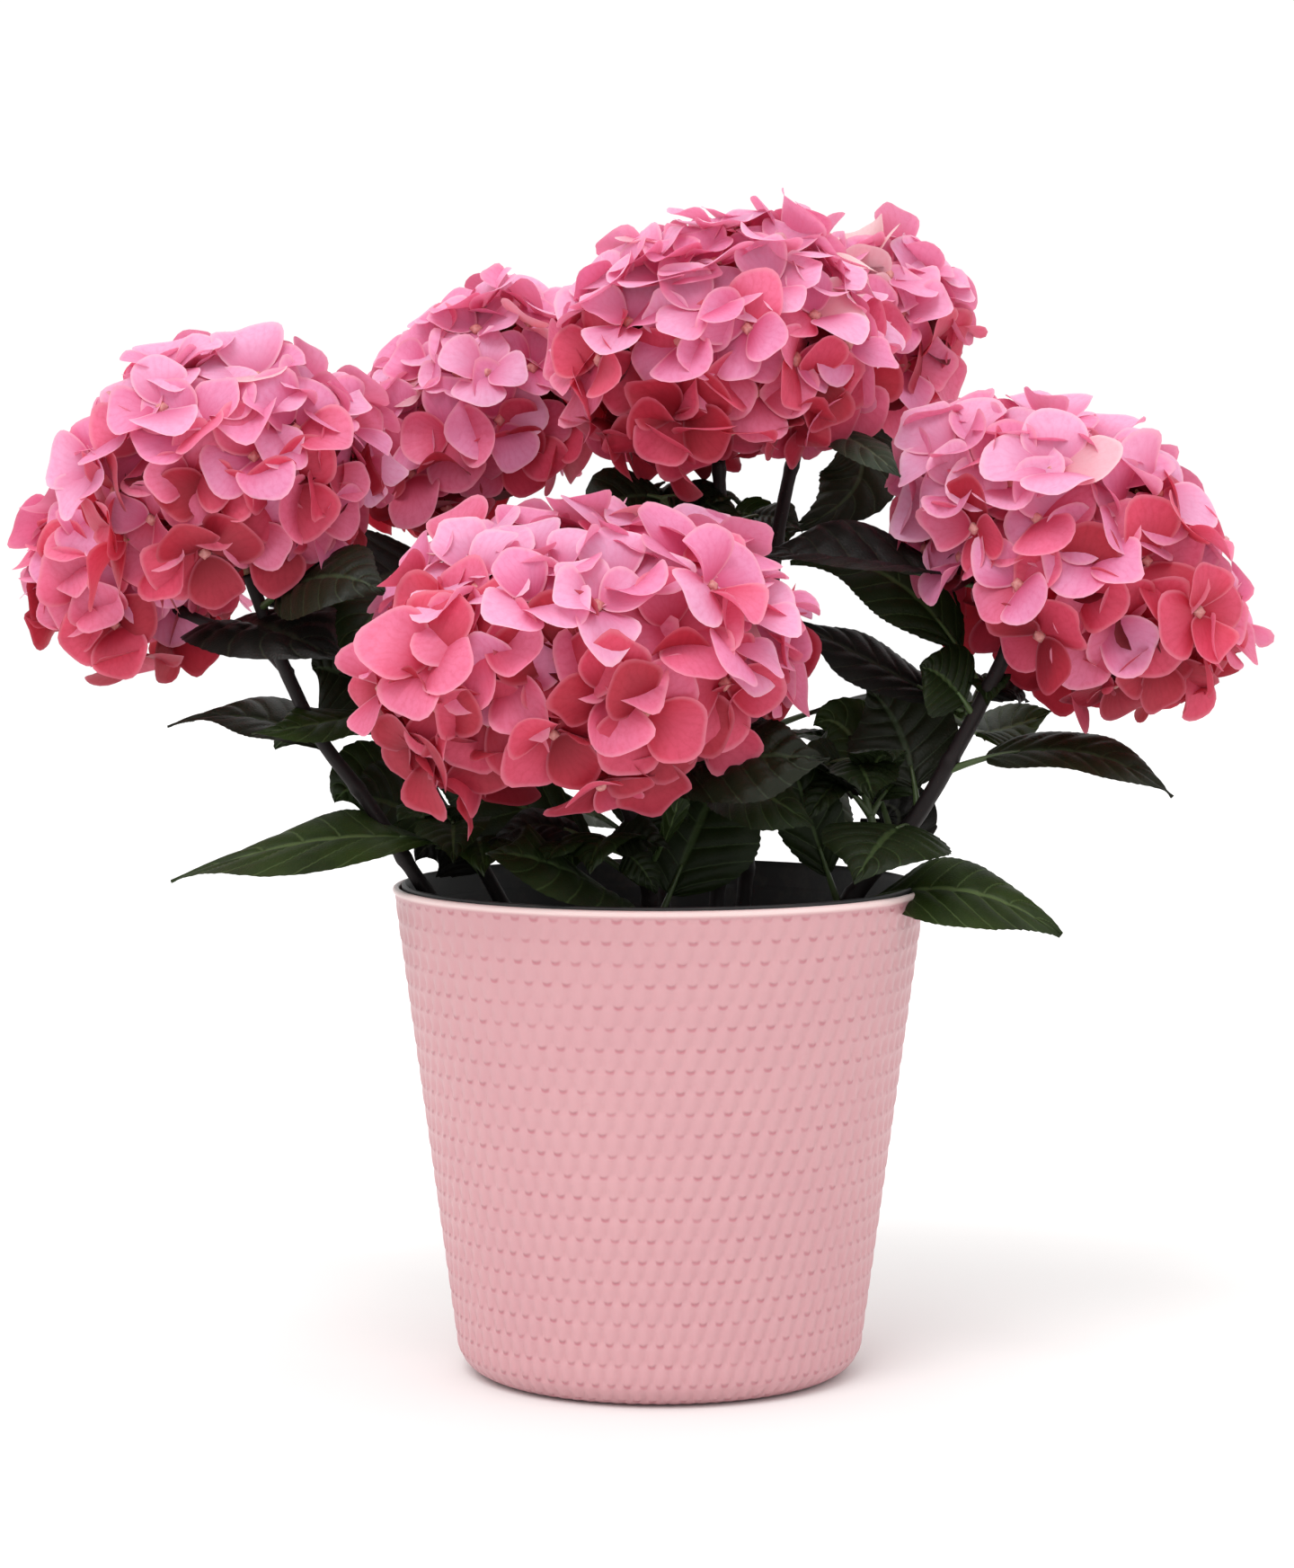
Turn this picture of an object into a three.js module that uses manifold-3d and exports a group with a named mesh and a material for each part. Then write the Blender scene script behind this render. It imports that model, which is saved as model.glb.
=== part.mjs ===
// Potted mophead hydrangea: a conical plastic planter with a grower's pot and compost in it,
// seven woody stems and a side shoot that each carry one round flower head, masses of leaves in
// the middle of the plant and single leaf blades out to its tips.
// Millimetres, +Z up, origin at the middle of the planter's underside, viewed from -Y.
import * as THREE from 'three';
import { mergeVertices } from 'three/addons/utils/BufferGeometryUtils.js';
import Module from 'manifold-3d';

const wasm = await Module();
wasm.setup();

// ---------------------------------------------------------------- driving sizes

const GAP = 0.3; // clearance between neighbouring solids
const ROUND = 40; // facets round the pots

const POT = { height: 220, rim: 120, foot: 90, corner: 12, wall: 2.6, floor: 3.2, lip: 1.2 };
const GROWER = { rimZ: 221.2, floorZ: 3.5, clear: 1.6, wall: 1.5, band: 11 };
const SOIL_Z = 190;

const STEM_SIDES = 6;
const BLADE_THICK = 1.8;
const PETIOLE = 4; // width of a leaf stalk
const PETIOLE_PART = 0.16; // share of the leaf's length that is stalk

const COLOUR = {
  planter: 0xe6b2b9, grower: 0x17171a, compost: 0x2b211b, bark: 0x2a1c1c,
  petal: 0xe2708c, leaf: 0x26361f, darkLeaf: 0x1d1e1a,
};

// Limbs: points of the middle line from below the soil into the head, with the radius at
// each end. The shoot leaves the left stem and carries the head behind it.
const LIMBS = {
  stem_left: { foot: 3.4, top: 2.9,
    path: [[-70, -10, 178], [-87, -12, 195], [-106, -15, 221], [-131, -18, 260], [-152, -20, 289],
      [-166, -26, 319], [-181, -30, 360]] },
  stem_back_left: { foot: 3.4, top: 2.6,
    path: [[-46, 8, 178], [-62, 11, 196], [-84, 11, 233], [-103, 15, 261], [-112, 30, 300], [-92, 58, 380]] },
  stem_front: { foot: 3.6, top: 3,
    path: [[-2, -18, 178], [-3, -25, 200], [-10, -46, 245], [-24, -76, 285]] },
  stem_centre: { foot: 3.6, top: 2.8,
    path: [[24, 1, 178], [26, 5, 213], [30, 4, 300], [26, -16, 410]] },
  stem_back_right: { foot: 3.6, top: 2.8,
    path: [[36, 30, 178], [42, 33, 250], [50, 32, 340], [55, 31, 384], [66, 50, 423], [90, 86, 452]] },
  stem_right: { foot: 4.4, top: 3,
    path: [[55, -3, 178], [69, -4, 193], [89, -5, 218], [118, -8, 256], [131, -10, 279], [143, -12, 302],
      [157, -14, 335], [160, -18, 362]] },
  stem_back: { foot: 3.6, top: 2.8,
    path: [[2, 24, 178], [2, 34, 205], [-2, 78, 255], [-6, 112, 300]] },
  shoot_far_left: { foot: 2.8, top: 2.2,
    path: [[-164, -24, 316], [-182, 4, 330], [-208, 34, 337], [-240, 66, 350]] },
};

// Flower heads: middle, half sizes, the lean about Y in degrees that lowers the right side,
// and the seed of the uneven surface.
const HEADS = {
  front: { at: [-33, -95, 328], half: [103, 84, 67], lean: -6, seed: 1 },
  left: { at: [-187, -35, 405], half: [71, 66, 63], lean: 0, seed: 2 },
  far_left: { at: [-247, 74, 362], half: [56, 54, 55], lean: 0, seed: 3 },
  back_left: { at: [-86, 62, 432], half: [68, 58, 55], lean: -38, seed: 4 },
  top: { at: [25, -20, 461], half: [76, 70, 65], lean: 0, seed: 5 },
  top_right: { at: [101, 94, 473], half: [48, 50, 54], lean: 0, seed: 6 },
  right: { at: [183, -15, 367], half: [90, 76, 65], lean: 38, seed: 7 },
  back: { at: [-6, 130, 338], half: [68, 60, 56], lean: 0, seed: 8 },
};

// Leaf masses: middle, half sizes and seed.
const MASSES = {
  left_low: { at: [-92, -22, 240], half: [30, 40, 26], seed: 11 },
  left_high: { at: [-126, 14, 308], half: [20, 34, 44], seed: 12 },
  front_low: { at: [-38, -62, 233], half: [42, 34, 22], seed: 13 },
  centre_low: { at: [24, -24, 262], half: [26, 34, 28], seed: 14 },
  right_low: { at: [86, 2, 266], half: [34, 42, 30], seed: 15 },
  centre_high: { at: [-2, -12, 386], half: [46, 34, 19], seed: 16 },
  right_high: { at: [146, 10, 304], half: [22, 32, 20], seed: 17 },
  back_left: { at: [-84, 82, 288], half: [48, 36, 26], seed: 18 },
  back_right: { at: [92, 84, 266], half: [46, 36, 24], seed: 19 },
  back_top: { at: [30, 66, 380], half: [40, 30, 22], seed: 20 },
};

// Single leaves: the limb and the height where the stalk leaves it, the middle and the tip of
// the midrib, the greatest width, and how far the upper side tilts from the sky towards the
// front, in degrees.
const LEAVES = {
  left_rim: { limb: 'stem_back_left', z: 233, mid: [-140, -46, 245], tip: [-215, -44, 226], width: 54, tilt: 20 },
  left_long: { limb: 'stem_left', z: 271, mid: [-176, 4, 293.5], tip: [-222, 8, 291], width: 42, tilt: 17 },
  left_short: { limb: 'stem_back_left', z: 300, mid: [-149, -34, 295], tip: [-179, -44, 291], width: 33, tilt: 24 },
  left_dark: { limb: 'shoot_far_left', z: 334, mid: [-176, -36, 338], tip: [-134, -80, 323], width: 66, tilt: 28 },
  left_front: { limb: 'stem_left', z: 345, mid: [-145, -72, 360], tip: [-117, -86, 353], width: 47, tilt: 46 },
  left_hanging: { limb: 'stem_back_left', z: 348, mid: [-121, -22, 347], tip: [-139, -46, 317], width: 46, tilt: 50 },
  front_upright: { limb: 'stem_front', z: 200, mid: [17, -14, 247], tip: [29, 8, 271], width: 56, tilt: 78 },
  front_fold: { limb: 'stem_centre', z: 262, mid: [39, -40, 267], tip: [67, -66, 252], width: 44, tilt: 45 },
  front_glossy: { limb: 'stem_front', z: 272, mid: [33, -104, 284], tip: [71, -108, 283], width: 48, tilt: 44 },
  front_left: { limb: 'stem_front', z: 205, mid: [-42, -84, 235], tip: [-75, -88, 242], width: 56, tilt: 30 },
  right_upright: { limb: 'stem_right', z: 208, mid: [66, -12, 254], tip: [58, 4, 281], width: 30, tilt: 80 },
  right_folded: { limb: 'stem_right', z: 246, mid: [99, -50, 246], tip: [83, -80, 229], width: 56, tilt: 24 },
  right_rim: { limb: 'stem_right', z: 207, mid: [128, -42, 222], tip: [176, -52, 203], width: 56, tilt: 26 },
  right_long: { limb: 'stem_right', z: 271, mid: [181, -26, 282], tip: [227, -30, 262], width: 50, tilt: 18 },
  right_behind: { limb: 'stem_right', z: 290, mid: [155, 32, 288], tip: [181, 50, 296], width: 38, tilt: 36 },
  right_inner: { limb: 'stem_right', z: 296, mid: [127, -20, 313], tip: [115, -20, 319], width: 40, tilt: 50 },
  right_standing: { limb: 'stem_right', z: 252, mid: [109, 4, 286], tip: [93, 10, 309], width: 50, tilt: 78 },
  right_dark: { limb: 'stem_right', z: 296, mid: [98, -4, 319], tip: [57, 0, 341], width: 37, tilt: 28 },
  right_green: { limb: 'stem_right', z: 305, mid: [108, 14, 355], tip: [59, 20, 364.5], width: 36, tilt: 50 },
  right_crinkled: { limb: 'stem_right', z: 350, mid: [84, -40, 365], tip: [40, -40, 366], width: 54, tilt: 20 },
  top_behind: { limb: 'stem_back_right', z: 440, mid: [93, 64, 404], tip: [60, 62, 378], width: 28, tilt: 62 },
  top_small: { limb: 'stem_back_right', z: 424, mid: [84, -14, 420], tip: [105, -46, 403], width: 28, tilt: 20 },
  back_far_left: { limb: 'stem_back_left', z: 274, mid: [-148, 70, 288], tip: [-182, 96, 276], width: 62, tilt: -20 },
  back_low_left: { limb: 'stem_back', z: 226, mid: [-50, 82, 250], tip: [-96, 112, 232], width: 62, tilt: -24 },
  back_low_right: { limb: 'stem_back', z: 232, mid: [52, 90, 254], tip: [96, 124, 230], width: 62, tilt: -24 },
  back_end: { limb: 'stem_back', z: 262, mid: [6, 148, 272], tip: [14, 198, 250], width: 66, tilt: -20 },
  back_far_right: { limb: 'stem_back_right', z: 286, mid: [110, 84, 299], tip: [156, 118, 278], width: 62, tilt: -20 },
};

// ---------------------------------------------------------------- solids from geometry

/** Signed volume of an indexed geometry: negative when its faces point inwards. */
function signedVolume(position, index) {
  const [a, b, c] = [new THREE.Vector3(), new THREE.Vector3(), new THREE.Vector3()];
  let volume = 0;
  for (let i = 0; i < index.count; i += 3) {
    a.fromBufferAttribute(position, index.getX(i));
    b.fromBufferAttribute(position, index.getX(i + 1));
    c.fromBufferAttribute(position, index.getX(i + 2));
    volume += a.dot(b.cross(c)) / 6;
  }
  return volume;
}

/** A closed geometry as a manifold solid with its faces turned outwards. */
function toSolid(geometry) {
  const bare = geometry.clone();
  bare.deleteAttribute('normal');
  bare.deleteAttribute('uv');
  const merged = mergeVertices(bare, 1e-4);
  const triVerts = Uint32Array.from(merged.index.array);
  if (signedVolume(merged.attributes.position, merged.index) < 0) {
    for (let i = 0; i < triVerts.length; i += 3) {
      [triVerts[i + 1], triVerts[i + 2]] = [triVerts[i + 2], triVerts[i + 1]];
    }
  }
  const vertProperties = Float32Array.from(merged.attributes.position.array);
  return new wasm.Manifold(new wasm.Mesh({ numProp: 3, vertProperties, triVerts }));
}

/** The largest single body of a solid that a cut may have parted. */
function largestBody(solid) {
  const bodies = solid.decompose();
  return bodies.reduce((best, body) => (body.volume() > best.volume() ? body : best));
}

/** A named mesh of a solid. */
function toMesh(name, solid, color, roughness) {
  const { vertProperties, triVerts } = solid.getMesh();
  const geometry = new THREE.BufferGeometry();
  geometry.setAttribute('position', new THREE.BufferAttribute(vertProperties, 3));
  geometry.setIndex(new THREE.BufferAttribute(triVerts, 1));
  geometry.computeVertexNormals();
  const mesh = new THREE.Mesh(geometry, new THREE.MeshStandardMaterial({ color, roughness, metalness: 0 }));
  mesh.name = name;
  return mesh;
}

/** A profile of [radius, height] pairs turned about the Z axis. */
function turned(profile) {
  const points = profile.map(([radius, z]) => new THREE.Vector2(radius, z));
  return toSolid(new THREE.LatheGeometry(points, ROUND).rotateX(Math.PI / 2));
}

/** Closed body through rings of equally many points, with a fan over each end. */
function ringBody(rings) {
  const sides = rings[0].length;
  const points = rings.flat();
  const index = [];
  for (let ring = 0; ring + 1 < rings.length; ring++) {
    for (let side = 0; side < sides; side++) {
      const next = (side + 1) % sides;
      const [a, b] = [ring * sides + side, ring * sides + next];
      index.push(a, b, b + sides, a, b + sides, a + sides);
    }
  }
  for (const [first, flip] of [[0, true], [(rings.length - 1) * sides, false]]) {
    for (let side = 1; side + 1 < sides; side++) {
      index.push(first, first + (flip ? side + 1 : side), first + (flip ? side : side + 1));
    }
  }
  return toSolid(new THREE.BufferGeometry().setFromPoints(points).setIndex(index));
}

// ---------------------------------------------------------------- the pots and the compost

/** Outer radius of the planter's straight conical wall at a height. */
function potRadius(z) {
  return POT.foot + ((POT.rim - POT.foot) * z) / POT.height;
}

/** The planter: a cone with a rounded foot, a thin wall and a small rolled lip. */
function planter() {
  const turn = [0, 0.25, 0.5, 0.75, 1].map((part) => part * (Math.PI / 2));
  const footArc = turn.map((angle) => [
    potRadius(POT.corner) - POT.corner * (1 - Math.sin(angle)), POT.corner * (1 - Math.cos(angle))]);
  const top = POT.height;
  return turned([
    [0, 0], ...footArc,
    [potRadius(top - 6) - POT.lip, top - 6], [potRadius(top - 4), top - 4],
    [potRadius(top), top - 1], [potRadius(top) - 1, top],
    [potRadius(top) - POT.wall, top], [potRadius(top) - POT.wall - POT.lip, top - 3],
    [potRadius(POT.floor + 8) - POT.wall - POT.lip, POT.floor + 8],
    [potRadius(POT.floor) - POT.wall - 10, POT.floor], [0, POT.floor],
  ]);
}

/** Outer radius of the grower's pot at a height. */
function growerRadius(z) {
  return potRadius(z) - POT.wall - POT.lip - GROWER.clear;
}

/** The black grower's pot that stands in the planter, with a thicker band at its rim. */
function growerPot() {
  const { rimZ, floorZ, wall, band } = GROWER;
  return turned([
    [0, floorZ], [growerRadius(floorZ) - 10, floorZ], [growerRadius(floorZ + 9), floorZ + 9],
    [growerRadius(rimZ - band), rimZ - band], [growerRadius(rimZ - band) + 1.2, rimZ - band + 1],
    [growerRadius(rimZ) + 1.2, rimZ], [growerRadius(rimZ) + 1.2 - wall, rimZ],
    [growerRadius(floorZ + 10) - wall, floorZ + 10],
    [growerRadius(floorZ) - 12, floorZ + wall], [0, floorZ + wall],
  ]);
}

/** The compost: fills the grower's pot up to the level where the stems rise. */
function compost() {
  const { floorZ, wall } = GROWER;
  const inside = (z) => growerRadius(z) - wall - GAP;
  return turned([
    [0, floorZ + wall + GAP], [inside(floorZ) - 12, floorZ + wall + GAP],
    [inside(floorZ + 12), floorZ + 12], [inside(SOIL_Z), SOIL_Z], [0, SOIL_Z],
  ]);
}

/** All that the plant keeps clear of below the rim: both pots with the compost, one block. */
function potBlock() {
  const top = GROWER.rimZ + GAP;
  const inner = (z) => growerRadius(z) - GROWER.wall - GAP;
  return turned([
    [0, -GAP], [potRadius(0) + GAP, -GAP], [potRadius(POT.height) + GAP, POT.height - 1],
    [potRadius(POT.height) + GAP, top],
    [inner(GROWER.rimZ), top], [inner(SOIL_Z), SOIL_Z + GAP], [0, SOIL_Z + GAP],
  ]);
}

// ---------------------------------------------------------------- the plant

/** Smooth uneven factor near 1 for a direction: three crossed waves of a seeded phase. */
function uneven(direction, seed, depth, waves) {
  let sum = 0;
  for (let wave = 0; wave < 3; wave++) {
    const turn = seed * 2.39996 + wave * 2.0944;
    const across = Math.cos(turn) * direction.x + Math.sin(turn) * direction.y;
    const up = direction.z * Math.cos(seed + wave) + across * Math.sin(seed + wave);
    sum += Math.sin(waves * across + seed * 1.7 + wave) * Math.cos(waves * up - seed + 2 * wave);
  }
  return 1 + (depth * sum) / 3;
}

/** A closed uneven lump with given half sizes, leaned about Y. */
function lump({ at, half, seed, lean = 0 }, { detail, depth, waves, grow = 0 }) {
  const geometry = new THREE.IcosahedronGeometry(1, detail);
  const position = geometry.attributes.position;
  const direction = new THREE.Vector3();
  for (let i = 0; i < position.count; i++) {
    direction.fromBufferAttribute(position, i).normalize();
    const factor = uneven(direction, seed, depth, waves);
    position.setXYZ(i, ...half.map((size, axis) => direction.getComponent(axis) * (size * factor + grow)));
  }
  return toSolid(geometry.rotateY((lean * Math.PI) / 180).translate(...at));
}

const flowerHead = (head, grow = 0) => lump(head, { detail: 3, depth: 0.09, waves: 5, grow });
const leafMass = (mass, grow = 0) => lump(mass, { detail: 2, depth: 0.3, waves: 4, grow });

/** Smooth curve through listed points. */
function curveThrough(path) {
  return new THREE.CatmullRomCurve3(path.map((point) => new THREE.Vector3(...point)));
}

/** A round limb along a curve, tapering from its foot to its top. */
function limb({ path, foot, top }, grow = 0) {
  const curve = curveThrough(path);
  const steps = Math.round(path.length * 1.7);
  const { normals, binormals } = curve.computeFrenetFrames(steps, false);
  const rings = [];
  for (let step = 0; step <= steps; step++) {
    const middle = curve.getPointAt(step / steps);
    const radius = foot + ((top - foot) * step) / steps + grow;
    rings.push(Array.from({ length: STEM_SIDES }, (_, side) => {
      const angle = (2 * Math.PI * side) / STEM_SIDES;
      return middle.clone()
        .addScaledVector(normals[step], radius * Math.cos(angle))
        .addScaledVector(binormals[step], radius * Math.sin(angle));
    }));
  }
  return ringBody(rings);
}

/** The point of a limb's middle line at a height. */
function limbPoint({ path }, z) {
  const curve = curveThrough(path);
  let [low, high] = [0, 1];
  for (let round = 0; round < 30; round++) {
    const middle = (low + high) / 2;
    if (curve.getPoint(middle).z < z) low = middle;
    else high = middle;
  }
  return curve.getPoint(low);
}

/** Width of a leaf along its length: a stalk, then an egg shape drawn out to a point. */
function leafWidth(part, width) {
  if (part <= PETIOLE_PART) return PETIOLE;
  const s = (part - PETIOLE_PART) / (1 - PETIOLE_PART);
  return Math.max(PETIOLE * (1 - s) + 1, width * 1.04 * Math.sin(Math.PI * s ** 0.8) ** 0.8);
}

/** One leaf: an arched blade, folded a little along its midrib, on its stalk. */
function leaf({ limb: name, z, mid, tip, width, tilt }) {
  const base = limbPoint(LIMBS[name], z);
  const end = new THREE.Vector3(...tip);
  const middle = new THREE.Vector3(...mid).multiplyScalar(2).sub(base.clone().lerp(end, 0.5));
  const curve = new THREE.QuadraticBezierCurve3(base, middle, end);
  const facing = new THREE.Vector3(0, 0, 1).applyAxisAngle(new THREE.Vector3(1, 0, 0), (tilt * Math.PI) / 180);
  const rings = [0, PETIOLE_PART, 0.3, 0.46, 0.64, 0.84, 1].map((part) => {
    const point = curve.getPoint(part);
    const tangent = curve.getTangent(part);
    const side = tangent.clone().cross(facing).normalize();
    const normal = side.clone().cross(tangent).normalize();
    const half = leafWidth(part, width) / 2;
    const fold = half * 0.22;
    return [[-1, 1], [0, 1], [1, 1], [1, -1], [0, -1], [-1, -1]].map(([across, face]) => point.clone()
      .addScaledVector(side, across * half)
      .addScaledVector(normal, Math.abs(across) * fold + (face * BLADE_THICK) / 2));
  });
  return ringBody(rings);
}

// ---------------------------------------------------------------- assembly

const group = new THREE.Group();

/** Cuts a solid by those blocks that its box meets, and keeps its largest body. */
function cutClear(solid, blocks) {
  const box = solid.boundingBox();
  const near = blocks.filter((block) => {
    const other = block.boundingBox();
    return [0, 1, 2].every((axis) => box.min[axis] < other.max[axis] && other.min[axis] < box.max[axis]);
  });
  return largestBody(near.reduce((rest, block) => rest.subtract(block), solid));
}

group.add(toMesh('planter', planter(), COLOUR.planter, 0.45));
group.add(toMesh('grower_pot', growerPot(), COLOUR.grower, 0.6));
group.add(toMesh('compost', compost(), COLOUR.compost, 0.95));

// Each kind gives way to the kinds before it: heads, stems, masses, then single leaves.
const keepOut = [potBlock()];

for (const [name, head] of Object.entries(HEADS)) {
  group.add(toMesh(`flower_head_${name}`, cutClear(flowerHead(head), keepOut), COLOUR.petal, 0.7));
  keepOut.push(flowerHead(head, GAP * 1.5));
}

for (const [name, stem] of Object.entries(LIMBS)) {
  group.add(toMesh(name, cutClear(limb(stem), keepOut), COLOUR.bark, 0.8));
  keepOut.push(limb(stem, GAP * 1.4));
}

for (const [name, mass] of Object.entries(MASSES)) {
  group.add(toMesh(`leaf_mass_${name}`, cutClear(leafMass(mass), keepOut), COLOUR.leaf, 0.6));
  keepOut.push(leafMass(mass, GAP * 1.5));
}

for (const [name, blade] of Object.entries(LEAVES)) {
  const solid = cutClear(leaf(blade), keepOut);
  const color = /dark|crinkled/.test(name) ? COLOUR.darkLeaf : COLOUR.leaf;
  group.add(toMesh(`leaf_${name}`, solid, color, 0.5));
  keepOut.push(leaf({ ...blade }));
}

export default group;
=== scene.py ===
import math

import bpy
import numpy as np
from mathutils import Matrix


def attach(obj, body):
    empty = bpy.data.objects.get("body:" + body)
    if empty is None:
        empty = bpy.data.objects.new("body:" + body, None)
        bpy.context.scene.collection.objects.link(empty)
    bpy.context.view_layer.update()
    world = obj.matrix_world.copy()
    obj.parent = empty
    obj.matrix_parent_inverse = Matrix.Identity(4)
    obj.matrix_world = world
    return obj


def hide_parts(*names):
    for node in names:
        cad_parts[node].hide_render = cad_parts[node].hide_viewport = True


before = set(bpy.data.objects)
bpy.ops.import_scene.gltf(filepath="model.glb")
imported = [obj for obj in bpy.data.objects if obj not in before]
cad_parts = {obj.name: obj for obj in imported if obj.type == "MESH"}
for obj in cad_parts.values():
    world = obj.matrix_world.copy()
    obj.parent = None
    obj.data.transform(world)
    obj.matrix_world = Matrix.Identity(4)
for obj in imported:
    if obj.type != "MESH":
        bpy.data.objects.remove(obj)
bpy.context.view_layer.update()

# ---------------------------------------------------------------- planter
# The decorative planter is injection-moulded polypropylene: one conical wall whose outside
# carries a quilt of small raised pillows, each row set half a step from the next. The wall
# ends in a smooth thin lip and turns through a rounded foot into a flat base.

MM = 0.001
PLANTER_HEIGHT = 220.0
PLANTER_RIM, PLANTER_FOOT, PLANTER_CORNER = 120.0, 90.0, 16.0
PILLOWS_ROUND = 80  # 9.4 mm apart at the rim
PILLOW_ROW = 9.4  # mm up the wall from one row to the next
PILLOW_RELIEF = 1.4  # mm from the valleys to the tops
LIP_HEIGHT = 3.4  # mm of smooth wall above the last row
LIP_BEAD, LIP_MIDDLE = 1.6, 118.3  # mm, the radius of the lip's rounded edge, and of its middle line
PLANTER_INSIDE = [(116.6, 216.0), (112.0, 182.0), (104.0, 120.0), (93.0, 40.0), (87.5, 9.0), (84.0, 4.4),
                  (78.0, 3.3), (40.0, 3.2)]  # radius and height, from the lip down


def linear(colour):
    """An sRGB hex colour such as "E6B4B9" as linear RGBA: each channel c becomes
    ((c + 0.055) / 1.055) ** 2.4, or c / 12.92 near black."""
    parts = [int(colour[i:i + 2], 16) / 255 for i in (0, 2, 4)]
    return [((c + 0.055) / 1.055) ** 2.4 if c > 0.04045 else c / 12.92 for c in parts] + [1.0]


def add(tree, kind, inputs=None, **settings):
    """Adds one shader node. settings are its own properties. inputs gives each socket, by name
    or number, a value, a hex colour, the output that feeds it or a node, of which the first
    output in use feeds it."""
    made = tree.nodes.new("ShaderNode" + kind)
    for name, value in settings.items():
        setattr(made, name, value)
    for socket, value in (inputs or {}).items():
        if isinstance(value, bpy.types.Node):
            value = next(output for output in value.outputs if output.enabled)
        if isinstance(value, bpy.types.NodeSocket):
            tree.links.new(value, made.inputs[socket])
        else:
            made.inputs[socket].default_value = linear(value) if isinstance(value, str) else value
    return made


def new_material(name):
    """An empty node material, its tree, and the Object coordinates that its patterns follow."""
    material = bpy.data.materials.new(name)
    material.use_nodes = True
    material.node_tree.nodes.clear()
    return material, material.node_tree, add(material.node_tree, "TexCoord").outputs["Object"]


def sheet_triangles(rows, columns, closed=False):
    """Two triangles for each cell of a rows by columns grid of points, numbered row by row;
    closed joins the last column to the first."""
    across = columns if closed else columns - 1
    row, column = np.meshgrid(np.arange(rows - 1), np.arange(across), indexing="ij")
    a = (row * columns + column).ravel()
    b = (row * columns + (column + 1) % columns).ravel()
    return np.concatenate([np.stack([a, b, b + columns], 1), np.stack([a, b + columns, a + columns], 1)])


def closed_rings(rows, columns):
    """Triangles of rings joined into a wall, with a fan over each end. The two end points
    are numbered after the rings' points."""
    wall = sheet_triangles(rows, columns, closed=True)
    here = np.arange(columns)
    after = (here + 1) % columns
    first, last = rows * columns, rows * columns + 1
    foot = np.stack([np.full(columns, first), after, here], 1)
    top = np.stack([np.full(columns, last), (rows - 1) * columns + here, (rows - 1) * columns + after], 1)
    return np.concatenate([wall, foot, top])


def make_piece(name, points, triangles, materials, replaces=(), tone=None, uv=None):
    """One mesh object from whole arrays: points in millimetres, triangles, a material number
    for each triangle, and a UV pair for each point."""
    mesh = bpy.data.meshes.new(name)
    mesh.vertices.add(len(points))
    mesh.vertices.foreach_set("co", (np.asarray(points) * MM).astype(np.float32).ravel())
    mesh.loops.add(triangles.size)
    mesh.loops.foreach_set("vertex_index", triangles.astype(np.int32).ravel())
    mesh.polygons.add(len(triangles))
    mesh.polygons.foreach_set("loop_start", np.arange(0, triangles.size, 3, dtype=np.int32))
    if tone is not None:
        mesh.polygons.foreach_set("material_index", np.asarray(tone, dtype=np.int32))
    if uv is not None:
        layer = mesh.uv_layers.new(name="Surface")
        layer.uv.foreach_set("vector", uv[triangles.ravel()].astype(np.float32).ravel())
    mesh.update(calc_edges=True)
    mesh.shade_smooth()
    for material in materials:
        mesh.materials.append(material)
    made = bpy.data.objects.new(name, mesh)
    bpy.context.scene.collection.objects.link(made)
    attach(made, "root")
    if replaces:
        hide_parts(*replaces)


def turned_body(radius, height):
    """A body of revolution. radius and height are rows by columns; each row is a ring whose
    points stand at equal angles, x = r cos a and y = r sin a, closed on the axis at both ends."""
    rows, columns = radius.shape
    angle = 2 * np.pi * np.arange(columns) / columns
    rings = np.stack([radius * np.cos(angle), radius * np.sin(angle), height], -1).reshape(-1, 3)
    ends = [[0, 0, height[0].mean()], [0, 0, height[-1].mean()]]
    return np.concatenate([rings, ends]), closed_rings(rows, columns)


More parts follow.
